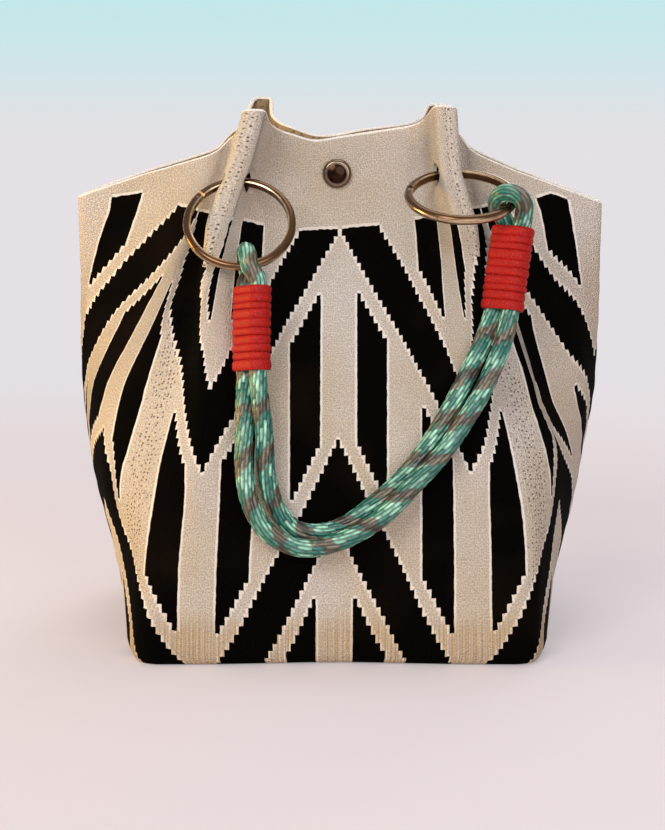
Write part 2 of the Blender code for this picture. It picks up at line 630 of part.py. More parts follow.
def make_snap(body, parts, cutters, metal):
    """The closed snap: a cap on each side, its post through the knit, and socket and stud between the panels."""
    outer = -float(smooth_levels(MIDDLE_Y, np.array([SNAP_HEIGHT]), MIDDLE_LEVELS)[0])
    inner = outer - WALL
    seat = outer + CAP_SEAT
    post_length = seat - inner
    cap = [(0, CAP_HEIGHT), (0.35 * CAP_RADIUS, 0.97 * CAP_HEIGHT), (0.7 * CAP_RADIUS, 0.78 * CAP_HEIGHT),
           (0.92 * CAP_RADIUS, 0.5 * CAP_HEIGHT), (CAP_RADIUS, CAP_RIM), (CAP_RADIUS, 0), (POST_RADIUS, 0),
           (POST_RADIUS, -post_length), (0, -post_length)]
    for name, side in (("front_snap_cap", -1), ("back_snap_cap", 1)):
        at = Vector((0, side * seat, SNAP_HEIGHT))
        add_object(name, turned_mesh(name, cap), parts, metal, along((0, side, 0), at))
    hole = add_object("post_cutter", cylinder_mesh("post_cutter", POST_HOLE_RADIUS, 4 * outer, 16), cutters,
                      matrix=along((0, 1, 0), Vector((0, 0, SNAP_HEIGHT))))
    cut(body, hole)

    face = inner - GAP
    socket_depth = 2 * face - STUD_BASE - GAP
    socket = [(0, 0), (FASTENER_RADIUS, 0), (FASTENER_RADIUS, socket_depth), (SOCKET_BORE, socket_depth),
              (SOCKET_BORE, SOCKET_FLOOR), (0, SOCKET_FLOOR)]
    add_object("snap_socket", turned_mesh("snap_socket", socket), parts, metal,
               along((0, 1, 0), Vector((0, -face, SNAP_HEIGHT))))
    stud_reach = 2 * face - SOCKET_FLOOR - GAP
    stud = [(0, 0), (FASTENER_RADIUS, 0), (FASTENER_RADIUS, STUD_BASE), (0.8 * STUD_RADIUS, STUD_BASE),
            (STUD_RADIUS, stud_reach - 0.8 * MM), (0.8 * STUD_RADIUS, stud_reach), (0, stud_reach)]
    add_object("snap_stud", turned_mesh("snap_stud", stud), parts, metal,
               along((0, -1, 0), Vector((0, face, SNAP_HEIGHT))))


def main():
    clear_scene()
    parts = new_collection("knitted_tote_bag")
    cutters = new_collection("cutters")
    finish = {
        "knit": new_material("jacquard_knit", (0.60, 0.51, 0.40), 0.9),
        "steel": new_material("gunmetal_plate", (0.30, 0.26, 0.23), 0.25, 1.0),
        "spring": new_material("spring_steel", (0.5, 0.5, 0.5), 0.35, 1.0),
        "rope": new_material("braided_rope", (0.05, 0.30, 0.22), 0.6),
        "whipping": new_material("red_cord", (0.55, 0.02, 0.015), 0.5),
    }
    body = make_body(parts, finish["knit"])
    for name, side in (("front", 1), ("back", -1)):
        make_handle(name, side, parts, cutters, finish)
    cut_eyes(body, cutters)
    make_snap(body, parts, cutters, finish["steel"])


if __name__ == "__main__":
    main()
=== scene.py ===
"""Looks of a knitted tote bag with two ring-and-rope handles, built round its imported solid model.

Metres, +Z up, front towards -Y. Heights and widths written in millimetres are multiplied by MM.
"""

import math

import bpy
import numpy as np
from mathutils import Matrix, Vector


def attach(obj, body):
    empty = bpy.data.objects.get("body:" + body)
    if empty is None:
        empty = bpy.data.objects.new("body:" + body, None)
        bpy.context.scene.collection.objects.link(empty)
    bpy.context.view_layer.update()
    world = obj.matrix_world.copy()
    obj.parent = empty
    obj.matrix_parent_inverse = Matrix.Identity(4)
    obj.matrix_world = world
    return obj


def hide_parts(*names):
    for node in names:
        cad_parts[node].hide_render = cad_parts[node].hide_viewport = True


bl_info = {
    "name": "Knitted tote bag",
    "version": (1, 0, 0),
    "blender": (4, 5, 0),
    "location": "View3D > Sidebar > Tote bag",
    "description": "Builds the knitted body, rope handles, rings, snap and studio of a tote bag",
    "category": "Add Mesh",
}

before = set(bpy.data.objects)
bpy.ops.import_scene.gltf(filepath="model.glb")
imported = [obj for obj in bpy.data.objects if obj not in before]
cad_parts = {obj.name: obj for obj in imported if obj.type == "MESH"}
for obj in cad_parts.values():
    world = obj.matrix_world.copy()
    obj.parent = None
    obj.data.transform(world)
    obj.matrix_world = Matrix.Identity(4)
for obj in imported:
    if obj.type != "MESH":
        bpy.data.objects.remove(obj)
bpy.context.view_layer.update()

MM = 0.001

# Height of the snap fastener, where the middles of both panels meet.
SNAP_HEIGHT = 258.7 * MM

# Knitted body: columns of the knit, each at its distance along the fabric from the middle of the panel.
# Columns: middle, snap land, inner flank, both pleat edges, valley, side bulge, side, and the start and end
# of the fold.
WALL = 2.4 * MM
COLUMN_AT = np.array([0, 13, 40, 67.7, 81.7, 112, 149.4, 196, 228, 232]) * MM
ROUNDING = np.array([5, 5, 12, 4, 4, 10, 12, 12, 4, 4]) * MM
LEVELS = np.array([0, 50, 100, 140, 180, 230, 247, 262, 306]) * MM
MIDDLE_LEVELS = np.append(LEVELS[:5], SNAP_HEIGHT + np.array([-28.7, -11.7, 3.3, 47.3]) * MM)
MIDDLE_Y = np.array([-102, -101, -94, -81, -60, -19, -7.0, -6.0, -5.4]) * MM
FLANK_Y = np.array([-104, -102, -97, -86, -67, -34, -20, -11, -8]) * MM
PLEAT_Y = np.array([-105, -103, -99, -92, -80, -62, -56, -50, -42]) * MM
FOLD_Y = 4.4 * MM
FOLD_ROUND = 1.2 * MM
LAND_BACK = 0.3 * MM
PLEAT_WIDTH = 13 * MM
SNAP_LAND = 12.5 * MM
LEFT = {
    "flank_x": np.array([41, 40.5, 39, 38.5, 38, 38, 37, 36.5, 34]) * MM,
    "pleat_x": np.array([71, 70.5, 69, 67.5, 68, 65, 60.5, 54.5, 42]) * MM,
    "valley": (np.array([108, 106, 98, 88, 80, 72.5, 68, 62, 50]) * MM,
               np.array([-105, -101, -92, -76, -50, -24, -16, -10, -8]) * MM),
    "bulge": (np.array([116, 119, 127, 119, 103, 82, 76, 70, 62]) * MM,
              np.array([-70, -71, -67, -60, -50, -32, -22, -14, -8]) * MM),
    "side": (np.array([116.5, 128, 139, 138, 130, 115, 109.5, 105, 100]) * MM,
             np.array([-30, -31, -30, -28, -25, -14, -10.5, -8.5, -7]) * MM),
    "fold_x": np.array([115.5, 131, 142.5, 147, 147.5, 147, 147, 146.5, 146]) * MM,
    "top": np.append(SNAP_HEIGHT + np.array([20.8, 18.5]) * MM,
                     np.array([284.5, 295.5, 296, 283, 271, 260, 246, 245.5]) * MM),
    "back_rise": np.array([1, 3, 4, 6, 6, 4, 2, 1.5, 0.7, 0]) * MM,
}
RIGHT = {
    "flank_x": np.array([41, 40.5, 41, 42, 43, 46, 46.5, 47, 45]) * MM,
    "pleat_x": np.array([71, 71, 71, 71.5, 72, 70.5, 66, 62, 58.5]) * MM,
    "valley": (np.array([108, 107, 100, 92, 84, 76, 72, 69, 66]) * MM,
               np.array([-105, -101, -92, -74, -46, -20, -13, -10, -8]) * MM),
    "bulge": (np.array([116, 119, 119, 112, 101, 84, 80, 77, 73]) * MM,
              np.array([-70, -71, -68, -58, -42, -24, -16, -12, -8]) * MM),
    "side": (np.array([116.5, 128, 138, 139, 133, 120, 114, 110, 106]) * MM,
             np.array([-30, -31, -30, -28, -24, -14, -10.5, -8.5, -7]) * MM),
    "fold_x": np.array([113.5, 132, 143, 149, 150, 150.5, 150.5, 150.5, 150]) * MM,
    "top": np.append(SNAP_HEIGHT + np.array([20.8, 22.8]) * MM,
                     np.array([286.5, 298, 297.5, 284, 271.5, 257, 242.5, 242]) * MM),
    "back_rise": np.array([1, 2, 1, 0, 0, 1, 2, 1.5, 0.7, 0]) * MM,
}
BASE_ROUND = 6 * MM
SMOOTHING_SAMPLES = 25
EDGE_SMOOTHING = 5 * MM
EDGE_SAMPLES = 9
WALL_STEPS = 101
RIM_STEPS = 7

# The knit's pattern. Cells are one pattern stitch wide and high; wales are counted in cells from the middle
# of a panel and rows downwards from the first patterned row. Each list gives where those wales lie along the
# fabric, in mm, at each height.
WALES = np.array([0, 4.5, 11.5, 20.5, 27.5, 32, 36.5, 43.5, 48, 52.5, 59.5, 64, 68.5, 75.5, 84.5, 91.5, 99.3])
LEFT_WALE_HEIGHTS = np.array([0, 50, 90, 115, 140, 165, 185, 210, 224, 237]) * MM
LEFT_WALE_AT = np.array([
    [1.5, 12, 27, 48, 69, 79.5, 90, 110, 121.5, 133, 151, 162, 173, 190, 207, 220, 232],
    [1.2, 11.5, 26.5, 47.7, 68, 79, 89.8, 109.9, 122.5, 135, 151, 163, 176, 196, 212, 223, 232],
    [0.4, 10, 25.7, 46.3, 67, 77.5, 88.6, 109, 124, 139, 147, 168, 193, 208, 218, 226, 232],
    [-0.6, 9.4, 25.9, 46, 66.7, 77.5, 90.5, 109.5, 122, 135.3, 149, 167, 186, 210, 220, 227, 232],
    [-0.8, 9.3, 26.2, 45.6, 65, 76, 88.5, 109, 122, 134, 150.7, 162, 175, 199, 212, 223, 232],
    [-1.1, 9.3, 26.6, 45.2, 63.5, 72, 79, 103, 122.5, 134.5, 148, 156, 164, 184, 205, 222, 232],
    [-1.3, 9.2, 26.9, 44.8, 62, 69, 74, 86, 122, 135.5, 145, 152, 159, 177, 200, 222, 232],
    [-1.6, 9.1, 25.5, 44.2, 60.7, 66.5, 70.7, 73.8, 80, 120, 142, 148, 153, 170, 197.5, 217, 232],
    [-1.7, 8.8, 24.8, 43.9, 59.8, 65.3, 68.6, 69.4, 75, 98, 132, 143, 151.5, 169, 196.5, 214, 232],
    [-1.8, 8.5, 24, 43.6, 59, 64, 66.5, 67.0, 72.5, 94, 131, 141, 151, 168, 195.5, 211, 232],
]) * MM
RIGHT_WALE_HEIGHTS = np.array([0, 50, 88, 112, 140, 165, 185, 210, 224, 237]) * MM
RIGHT_WALE_AT = np.array([
    [-1.5, 8.6, 25.5, 45.8, 65.6, 76.7, 88, 106.5, 119, 131, 150, 161, 172, 190, 207, 220, 232],
    [-1.2, 9, 26, 45.7, 65.4, 76, 86.8, 106, 119.5, 133, 151, 163, 176, 193, 208, 220, 232],
    [-0.4, 10.5, 26.5, 45.3, 64.7, 75.5, 86.7, 107.3, 126.6, 146, 155, 163, 172, 188, 205, 219, 232],
    [0.4, 11.1, 26.3, 44.9, 64, 74, 87.6, 106.5, 124.7, 142, 154, 157.5, 161, 176, 200, 217, 232],
    [0.8, 11.2, 26.1, 44.3, 61.8, 70.5, 80.5, 103, 121, 138, 145, 146.5, 148.2, 160, 187, 214, 232],
    [1.1, 11.25, 26, 43.3, 60, 67, 74.5, 88, 110, 136, 143.6, 144.5, 145.5, 158.5, 186, 212, 232],
    [1.3, 11.3, 25.6, 42.4, 58.3, 64.7, 70.6, 78, 92, 125, 140, 142.6, 145.5, 161, 187, 211, 232],
    [1.6, 11.3, 24.8, 41, 56, 61.5, 66.3, 71.8, 78.5, 98, 137, 142.5, 149, 166, 188.5, 210, 232],
    [1.7, 11.1, 24.3, 39.8, 55, 60, 65.0, 70.3, 76.8, 92, 135.5, 142.7, 151, 168, 190.5, 210, 232],
    [1.8, 11, 23.8, 38.5, 53.8, 58.3, 63.9, 68.3, 75, 88, 134, 143, 153, 170, 192.5, 210, 232],
]) * MM
FIRST_ROW_AT = np.array([-232, -210, -195.6, -167, -141, -112.8, -75, -59.6, -43.2, -23.4, 1.8, 23.6, 38.6,
                         53.8, 75, 112, 140, 157.6, 194, 202.6, 209.8, 232]) * MM
FIRST_ROW_HEIGHT = np.array([243, 245.5, 248.2, 241.7, 238.5, 237.2, 236.5, 235.2, 231.2, 227.6, 228.3, 230.8,
                             234.1, 237.1, 238, 239, 239.9, 241, 245.3, 247.5, 244.4, 242]) * MM
# For each wale: the height of its first row, then its rows and their heights, in mm, down to the base.
ROWS_DOWN = (
    (228.3, ((8.3, 197.2), (28, 120.8), (38, 76.6), (43, 54.5), (47, 36.6), (52, 12), (55.1, 0))),
    (228.3, ((8.3, 197.2), (28, 120.8), (38, 76.6), (43, 54.5), (47, 36.6), (52, 12), (55.1, 0))),
    (229.5, ((8.3, 197.6), (28, 121.5), (38, 76.6), (43, 54.5), (47, 36.6), (52, 12), (55.1, 0))),
    (232.6, ((24.5, 138.6), (38, 77), (47, 36.6), (52, 12), (55.1, 0))),
    (236.2, ((31.5, 110.2), (40, 70), (47, 36.6), (51.5, 15.4), (55.5, 0))),
    (236.5, ((22, 148.4), (32, 104.6), (40, 70), (47, 37), (51.5, 16), (56.5, 0))),
    (236.8, ((22, 148.4), (32, 104.6), (40, 70), (47, 37), (51.5, 16), (57.3, 0))),
    (237.0, ((24.5, 135.8), (47, 40), (52, 18), (58, 0))),
    (237.6, ((30, 109.6), (52, 20), (58.1, 0))),
    (238.2, ((35.7, 82), (52, 22), (58.3, 0))),
    (238.8, ((28, 119), (52, 24), (58.4, 0))),
    (239.3, ((28, 119), (52, 25), (58.5, 0))),
    (240.5, ((32, 109), (52, 27), (59, 0))),
    (242.0, ((35.7, 100.6), (52, 30), (59.5, 0))),
    (246.6, ((24.5, 144), (52, 30), (59.3, 0))),
    (245.0, ((13.5, 195), (52, 30), (59, 0))),
    (242.5, ((30, 120), (52, 30), (59, 0))),
)
PLAIN_ROW = 4.1 * MM
CELL = 2.36 * MM
ROW = 4.2 * MM
PERIOD = 38
HALF_REPEAT = 32
EYELET_WALE = 48
ROW_SAMPLES = 21

# Rings: bar with a flat inner face, a gate on a pin, and the eye where the bar passes through the pleat. Eyes
# are places in mm. From an eye the ring hangs one way, and its bar runs the way it is turned. Gates are in
# degrees round the ring.
GAP = 0.3 * MM
RING_RADIUS = 28 * MM
BAR_RADIUS = 2.6 * MM
BAR_FLAT = 1.75 * MM
EYE_RADIUS = 6.3 * MM
EYE_DEPTH = PLEAT_WIDTH + 16 * MM
EYES = {"left": (-56.5, -44.0, 255.5), "right": (62.5, -41.6, 260.0)}
HANGS = {"left": (0.136, -0.636, -0.761), "right": (0.15, -0.91, -0.387)}
TURNS = {"left": (1.0, 0.1, 0.08), "right": (1.0, 0.12, 0.04)}
GATE_AT = {"left": 138.0, "right": 165.0}
GATE_SPAN = 72.0
BAR_STEP = 2.0
BAR_SIDES = 28
TONGUE = 2.0 * MM
TONGUE_REACH = 3.2 * MM
CHEEK_REACH = 2.6 * MM
SLOT_REACH = 6.2 * MM
END_SIZE = 0.9
RING_SHARP_ANGLE = 38

# Rope: one endless rope, doubled, with its ends butted inside the left whipping. Its runs are in mm.
ROPE_RADIUS = 4.8 * MM
ROPE_BUTT = 0.5 * MM
STRAND_GAP = 0.35 * MM
STRAND_SHARES = (-0.04, 0.12, 0.5, 0.88, 1.02)
LOOP_START = -20
ROPE_RELIEF = 0.45 * MM
ROPE_SIDES = 72
ROPE_STEP = 0.8 * MM
YARNS = 14
PICK = 7.4 * MM
LAY = 16 * MM
WHIP_LENGTH = 45 * MM
WHIP_THICK = 2.2 * MM
WHIP_SEAT = 0.1 * MM
WHIP_TURN_STEPS = 80
WHIP_SIDES = 18
WHIPS = {
    "left": ((-45.2, -84.8, 202.5), (-0.001, -0.225, -1.0), (0.67, -0.74, 0.0)),
    "right": ((94.4, -73.0, 233.0), (-0.15, -0.225, -1.0), (0.86, -0.5, 0.0)),
}
OUTER_RUN = [(-48.6, -93, 152), (-48.7, -96.8, 145), (-49, -104.5, 126), (-48.8, -108.5, 107),
             (-45.8, -110.5, 91), (-39.5, -112.5, 79), (-30, -114, 71), (-19.5, -115, 67.5),
             (-7.4, -115.5, 68.6), (6, -115.5, 73), (23.6, -115, 84), (41.5, -112.5, 102),
             (56.8, -108.5, 118.5), (67, -104.5, 133), (76, -100, 147), (84, -94, 163), (89.5, -88, 177)]
INNER_RUN = [(-41.4, -100.2, 151.5), (-40.4, -102.4, 143), (-38.3, -104.5, 126), (-37.3, -105.5, 107),
             (-34, -105.8, 92), (-29, -106, 82), (-20.8, -105.8, 75), (-9, -105.5, 73.5), (4, -105.4, 77.5),
             (18.5, -105.2, 88), (30.5, -104.6, 98.5), (42, -103, 111), (52.5, -101, 126.5), (60.5, -99, 140),
             (68.5, -95.5, 155.5), (76.8, -88, 171.5)]

# Snap cap: its dome's profile is given in shares of its radius and height, from the middle outwards.
CAP_RADIUS = 8.25 * MM
CAP_HEIGHT = 3.4 * MM
CAP_SEAT = 1.4 * MM
CAP_SIDES = 72
CAP_SHARP_ANGLE = 50
CAP_PROFILE = [(0.12, 0.985), (0.3, 0.95), (0.45, 0.88), (0.58, 0.79), (0.64, 0.72), (0.68, 0.68),
               (0.73, 0.685), (0.8, 0.69), (0.87, 0.62), (0.94, 0.47), (0.985, 0.3), (1, 0.15), (0.985, 0.03),
               (0.95, 0)]
POST_RADIUS = 1.6 * MM
POST_HOLE_RADIUS = 2.0 * MM
POST_HOLE_DEPTH = 30 * MM

# Camera: metres, degrees and millimetres of lens, with its shifts in pixels of a picture 830 pixels high.
CAMERA_DISTANCE = 1.150
CAMERA_ELEVATION = 8.0
CAMERA_TARGET_HEIGHT = 0.150
CAMERA_LENS = 86.44
CAMERA_SENSOR = 36.0
PICTURE_HEIGHT = 830
CAMERA_SHIFT = (-4.5, -53)

# Lamps: place and size in metres, power in watts, colour.
LAMPS = {
    "key_lamp": ((-0.7, -1.6, 1.15), 1.0, 17.0, "#FFFAF4"),
    "front_lamp": ((0.55, -1.9, 0.7), 1.4, 13.5, "#FAFAFF"),
    "side_lamp": ((-1.6, -0.15, 0.35), 0.5, 17.0, "#FFD272"),
    "top_lamp": ((0.2, 0.3, 1.7), 1.2, 8.0, "#F8FAFF"),
    "back_lamp": ((0.7, 1.8, 0.9), 1.2, 13.0, "#FFFBF6"),
}
SURROUNDINGS = "#E8E4E4"


def linear(hex_colour):
    """An sRGB hex colour as linear RGBA: c / 12.92 near black, else ((c + 0.055) / 1.055) to the 2.4."""
    values = np.array([int(hex_colour[i:i + 2], 16) for i in (1, 3, 5)]) / 255
    return (*np.where(values <= 0.04045, values / 12.92, ((values + 0.055) / 1.055) ** 2.4), 1.0)


def add_node(tree, kind, inputs=(), **settings):
    """Adds a node with its settings, then fills or links its inputs, listed in order or given by name or
    number. A node given as an input stands for the first of its outputs that is in use."""
    node = tree.nodes.new(kind if kind.startswith("NodeGroup") else "ShaderNode" + kind)
    for name, value in settings.items():
        setattr(node, name, value)
    for socket, value in inputs.items() if isinstance(inputs, dict) else enumerate(inputs):
        if isinstance(value, bpy.types.Node):
            value = next(output for output in value.outputs if output.enabled)
        if isinstance(value, bpy.types.NodeSocket):
            tree.links.new(value, node.inputs[socket])
        else:
            node.inputs[socket].default_value = value
    return node


def new_material(name):
    material = bpy.data.materials.new(name)
    material.use_nodes = True
    material.node_tree.nodes.clear()
    return material, material.node_tree


def add_piece(name, points, faces, uv=None, uv_name="UVMap", smooth=True):
    """A mesh object from an array of points and lists of faces, with the UV of each face corner."""
    mesh = bpy.data.meshes.new(name)
    corners = [face for block in faces for face in block.tolist()]
    mesh.from_pydata(np.asarray(points).tolist(), [], corners)
    if uv is not None:
        mesh.uv_layers.new(name=uv_name).data.foreach_set("uv", np.asarray(uv, dtype=np.float32).ravel())
    mesh.validate()
    if smooth:
        mesh.shade_smooth()
    piece = bpy.data.objects.new(name, mesh)
    bpy.context.scene.collection.objects.link(piece)
    return piece


def grid_faces(rows, columns):
    """Corner numbers of the squares of a grid laid out row after row, whose last column meets its first."""
    row, column = np.arange(rows - 1)[:, None], np.arange(columns)[None]
    after_row, after_column = row + 1, (column + 1) % columns
    corners = [row * columns + column, row * columns + after_column, after_row * columns + after_column,
               after_row * columns + column]
    return np.stack([np.broadcast_to(c, (row.size, column.size)) for c in corners], -1).reshape(-1, 4)


def end_fans(rows, columns):
    """Triangles from the first and from the last row of a grid to two middle points that come after it."""
    here = np.arange(columns)
    after, last = (here + 1) % columns, (rows - 1) * columns
    first_middle, last_middle = np.full(columns, rows * columns), np.full(columns, rows * columns + 1)
    return np.stack([first_middle, after, here], -1), np.stack([last_middle, here + last, after + last], -1)


def unit(vectors):
    return vectors / np.linalg.norm(vectors, axis=-1, keepdims=True)


def lengths_along(path):
    """Length along a path from its start to each of its points."""
    return np.concatenate([[0], np.cumsum(np.linalg.norm(np.diff(path, axis=0), axis=1))])


def level_slopes(values, levels):
    """Slopes of a monotone cubic through the values: the weighted harmonic mean of the runs on both sides."""
    step = np.diff(levels)
    slope = np.diff(values, axis=0) / (step if values.ndim == 1 else step[:, None])
    before, after = (step[:-1], step[1:]) if values.ndim == 1 else (step[:-1, None], step[1:, None])
    same = slope[:-1] * slope[1:] > 0
    weight_1, weight_2 = 2 * after + before, after + 2 * before
    safe_1, safe_2 = np.where(same, slope[:-1], 1.0), np.where(same, slope[1:], 1.0)
    inner = np.where(same, (weight_1 + weight_2) / (weight_1 / safe_1 + weight_2 / safe_2), 0.0)
    return np.concatenate([slope[:1], inner, slope[-1:]])


def smooth_levels(values, heights, levels=LEVELS):
    """Values given at levels, read at other heights on a monotone cubic that swings past no value."""
    tangent = level_slopes(values, levels)
    step = np.diff(levels)
    place = np.clip(np.searchsorted(levels, heights, side="right") - 1, 0, len(step) - 1)
    width = step[place]
    t = (heights - levels[place]) / width
    if values.ndim > 1:
        t, width = t[:, None], width[:, None]
    h00, h10 = 2 * t**3 - 3 * t**2 + 1, t**3 - 2 * t**2 + t
    h01, h11 = 3 * t**2 - 2 * t**3, t**3 - t**2
    return (h00 * values[place] + h10 * width * tangent[place]
            + h01 * values[place + 1] + h11 * width * tangent[place + 1])


def section_corners(half, heights):
    """X and y of a quarter section's corners, from the panel's middle to the side fold, at each height."""
    zero = np.zeros_like(LEVELS)
    half_pleat = PLEAT_WIDTH / 2
    xs = [zero, zero + SNAP_LAND, half["flank_x"], half["pleat_x"] - half_pleat, half["pleat_x"] + half_pleat,
          half["valley"][0], half["bulge"][0], half["side"][0], half["fold_x"], half["fold_x"] + FOLD_ROUND]
    ys = [MIDDLE_Y, MIDDLE_Y - LAND_BACK, FLANK_Y, PLEAT_Y, PLEAT_Y, half["valley"][1], half["bulge"][1],
          half["side"][1], zero - FOLD_Y, zero]
    x = np.stack([smooth_levels(column, heights) for column in xs], -1)
    y_levels = [MIDDLE_LEVELS] * 2 + [LEVELS] * (len(ys) - 2)
    y = np.stack([smooth_levels(column, heights, levels) for column, levels in zip(ys, y_levels)], -1)
    return x, y


def body_surface(across, heights, side):
    """The body's outer face at signed distances along the knit and at heights; side is 1 in front, else -1.
    Straight runs join the section's corners at each height, and averaging over a window rounds them."""
    fold_at = COLUMN_AT[-1]
    window = np.interp(np.abs(across), COLUMN_AT, ROUNDING)
    left, right = section_corners(LEFT, heights), section_corners(RIGHT, heights)
    rows = np.arange(len(across))
    total = np.zeros((len(across), 2))
    for offset in np.linspace(-1, 1, SMOOTHING_SAMPLES):
        place = across + offset * window
        past = np.abs(place) > fold_at
        place = np.where(past, np.sign(place) * 2 * fold_at - place, place)
        column = np.clip(np.searchsorted(COLUMN_AT, np.abs(place), side="right") - 1, 0, len(COLUMN_AT) - 2)
        share = (np.abs(place) - COLUMN_AT[column]) / (COLUMN_AT[column + 1] - COLUMN_AT[column])
        runs = [corner[rows, column] * (1 - share) + corner[rows, column + 1] * share
                for corner in (*left, *right)]
        x = np.where(place < 0, -runs[0], runs[2])
        y = np.where(place < 0, runs[1], runs[3]) * np.where(past, -1, 1)
        total += np.stack([x, y], -1)
    total /= SMOOTHING_SAMPLES
    return np.column_stack([total[:, 0], total[:, 1] * side, heights])


def top_edge(across, side):
    """Height of the top edge: straight runs between columns, averaged over a short window along the knit."""
    total = np.zeros_like(across)
    edges = [half["top"] + (half["back_rise"] if side < 0 else 0) for half in (LEFT, RIGHT)]
    for offset in np.linspace(-1, 1, EDGE_SAMPLES):
        place = across + offset * EDGE_SMOOTHING
        left, right = (np.interp(np.abs(place), COLUMN_AT, edge) for edge in edges)
        total += np.where(place < 0, left, right)
    return total / EDGE_SAMPLES


def knit_cells(across, heights):
    """Pattern cells at places on the fabric: wale from the panel's middle, and row from the first row."""
    left = smooth_levels(LEFT_WALE_AT, np.clip(heights, 0, LEFT_WALE_HEIGHTS[-1]), LEFT_WALE_HEIGHTS)
    right = smooth_levels(RIGHT_WALE_AT, np.clip(heights, 0, RIGHT_WALE_HEIGHTS[-1]), RIGHT_WALE_HEIGHTS)
    places = np.concatenate([-left[:, :0:-1], right], 1)
    names = np.concatenate([-WALES[:0:-1], WALES])
    rows = np.arange(len(across))
    index = np.clip((places <= across[:, None]).sum(1) - 1, 0, len(names) - 2)
    share = (across - places[rows, index]) / (places[rows, index + 1] - places[rows, index])
    wale = names[index] + np.clip(share, 0, 1) * (names[index + 1] - names[index])

    first = np.interp(across, FIRST_ROW_AT, FIRST_ROW_HEIGHT)
    shares = np.linspace(0, 1, ROW_SAMPLES)
    table = np.empty((len(ROWS_DOWN), ROW_SAMPLES))
    for number, (top, pairs) in enumerate(ROWS_DOWN):
        rows_up, heights_up = zip(*pairs[::-1])
        table[number] = np.interp(shares, [*(z / top for z in heights_up), 1.0], [*rows_up, 0.0])
    line = np.clip(np.searchsorted(WALES, np.abs(wale), side="right") - 1, 0, len(WALES) - 2)
    between = (np.abs(wale) - WALES[line]) / (WALES[line + 1] - WALES[line])
    spot = np.clip(heights / first, 0, 1) * (len(shares) - 1)
    low = np.clip(spot.astype(int), 0, len(shares) - 2)
    up = spot - low
    here = table[line, low] * (1 - up) + table[line, low + 1] * up
    there = table[line + 1, low] * (1 - up) + table[line + 1, low + 1] * up
    row = here * (1 - between) + there * between
    return wale, np.where(heights > first, -(heights - first) / PLAIN_ROW, row)


def body_columns():
    """Signed columns round the tube, closer at the pleats: front left to right, then back right to left."""
    stops = np.array([0, 58, 92, 222, 232]) * MM
    counts = (26, 26, 52, 6)
    half = np.concatenate([np.linspace(a, b, n, endpoint=False) for a, b, n in zip(stops, stops[1:], counts)])
    fold = COLUMN_AT[-1:]
    panel = np.concatenate([-half[:0:-1], half])
    across = np.concatenate([panel, fold, panel[::-1], -fold])
    side = np.concatenate([np.ones(len(panel) + 1), -np.ones(len(panel) + 1)])
    return across, side


def wrinkles(across, heights):
    """Depth of the fabric's slow hollows: products of sines in both directions, never proud, gone at the top,
    at the snap and at the base, and finer creases across the fabric at the sides."""
    slow = np.sin(across / (13 * MM) + 1.7 * np.sin(heights / (31 * MM)))
    slow = 0.5 + 0.5 * slow * np.sin(heights / (24 * MM) + across / (37 * MM))
    fine = 0.5 + 0.5 * np.sin(heights / (2.6 * MM) + 2.2 * np.sin(across / (9 * MM))
                              + 1.3 * np.sin(heights / (17 * MM)))
    at_side = np.clip((np.abs(across) - 145 * MM) / (40 * MM), 0, 1)
    fade = np.clip((heights - 8 * MM) / (30 * MM), 0, 1) * np.clip((232 * MM - heights) / (30 * MM), 0, 1)
    return (0.9 * MM * slow + 0.3 * MM * fine * at_side) * fade


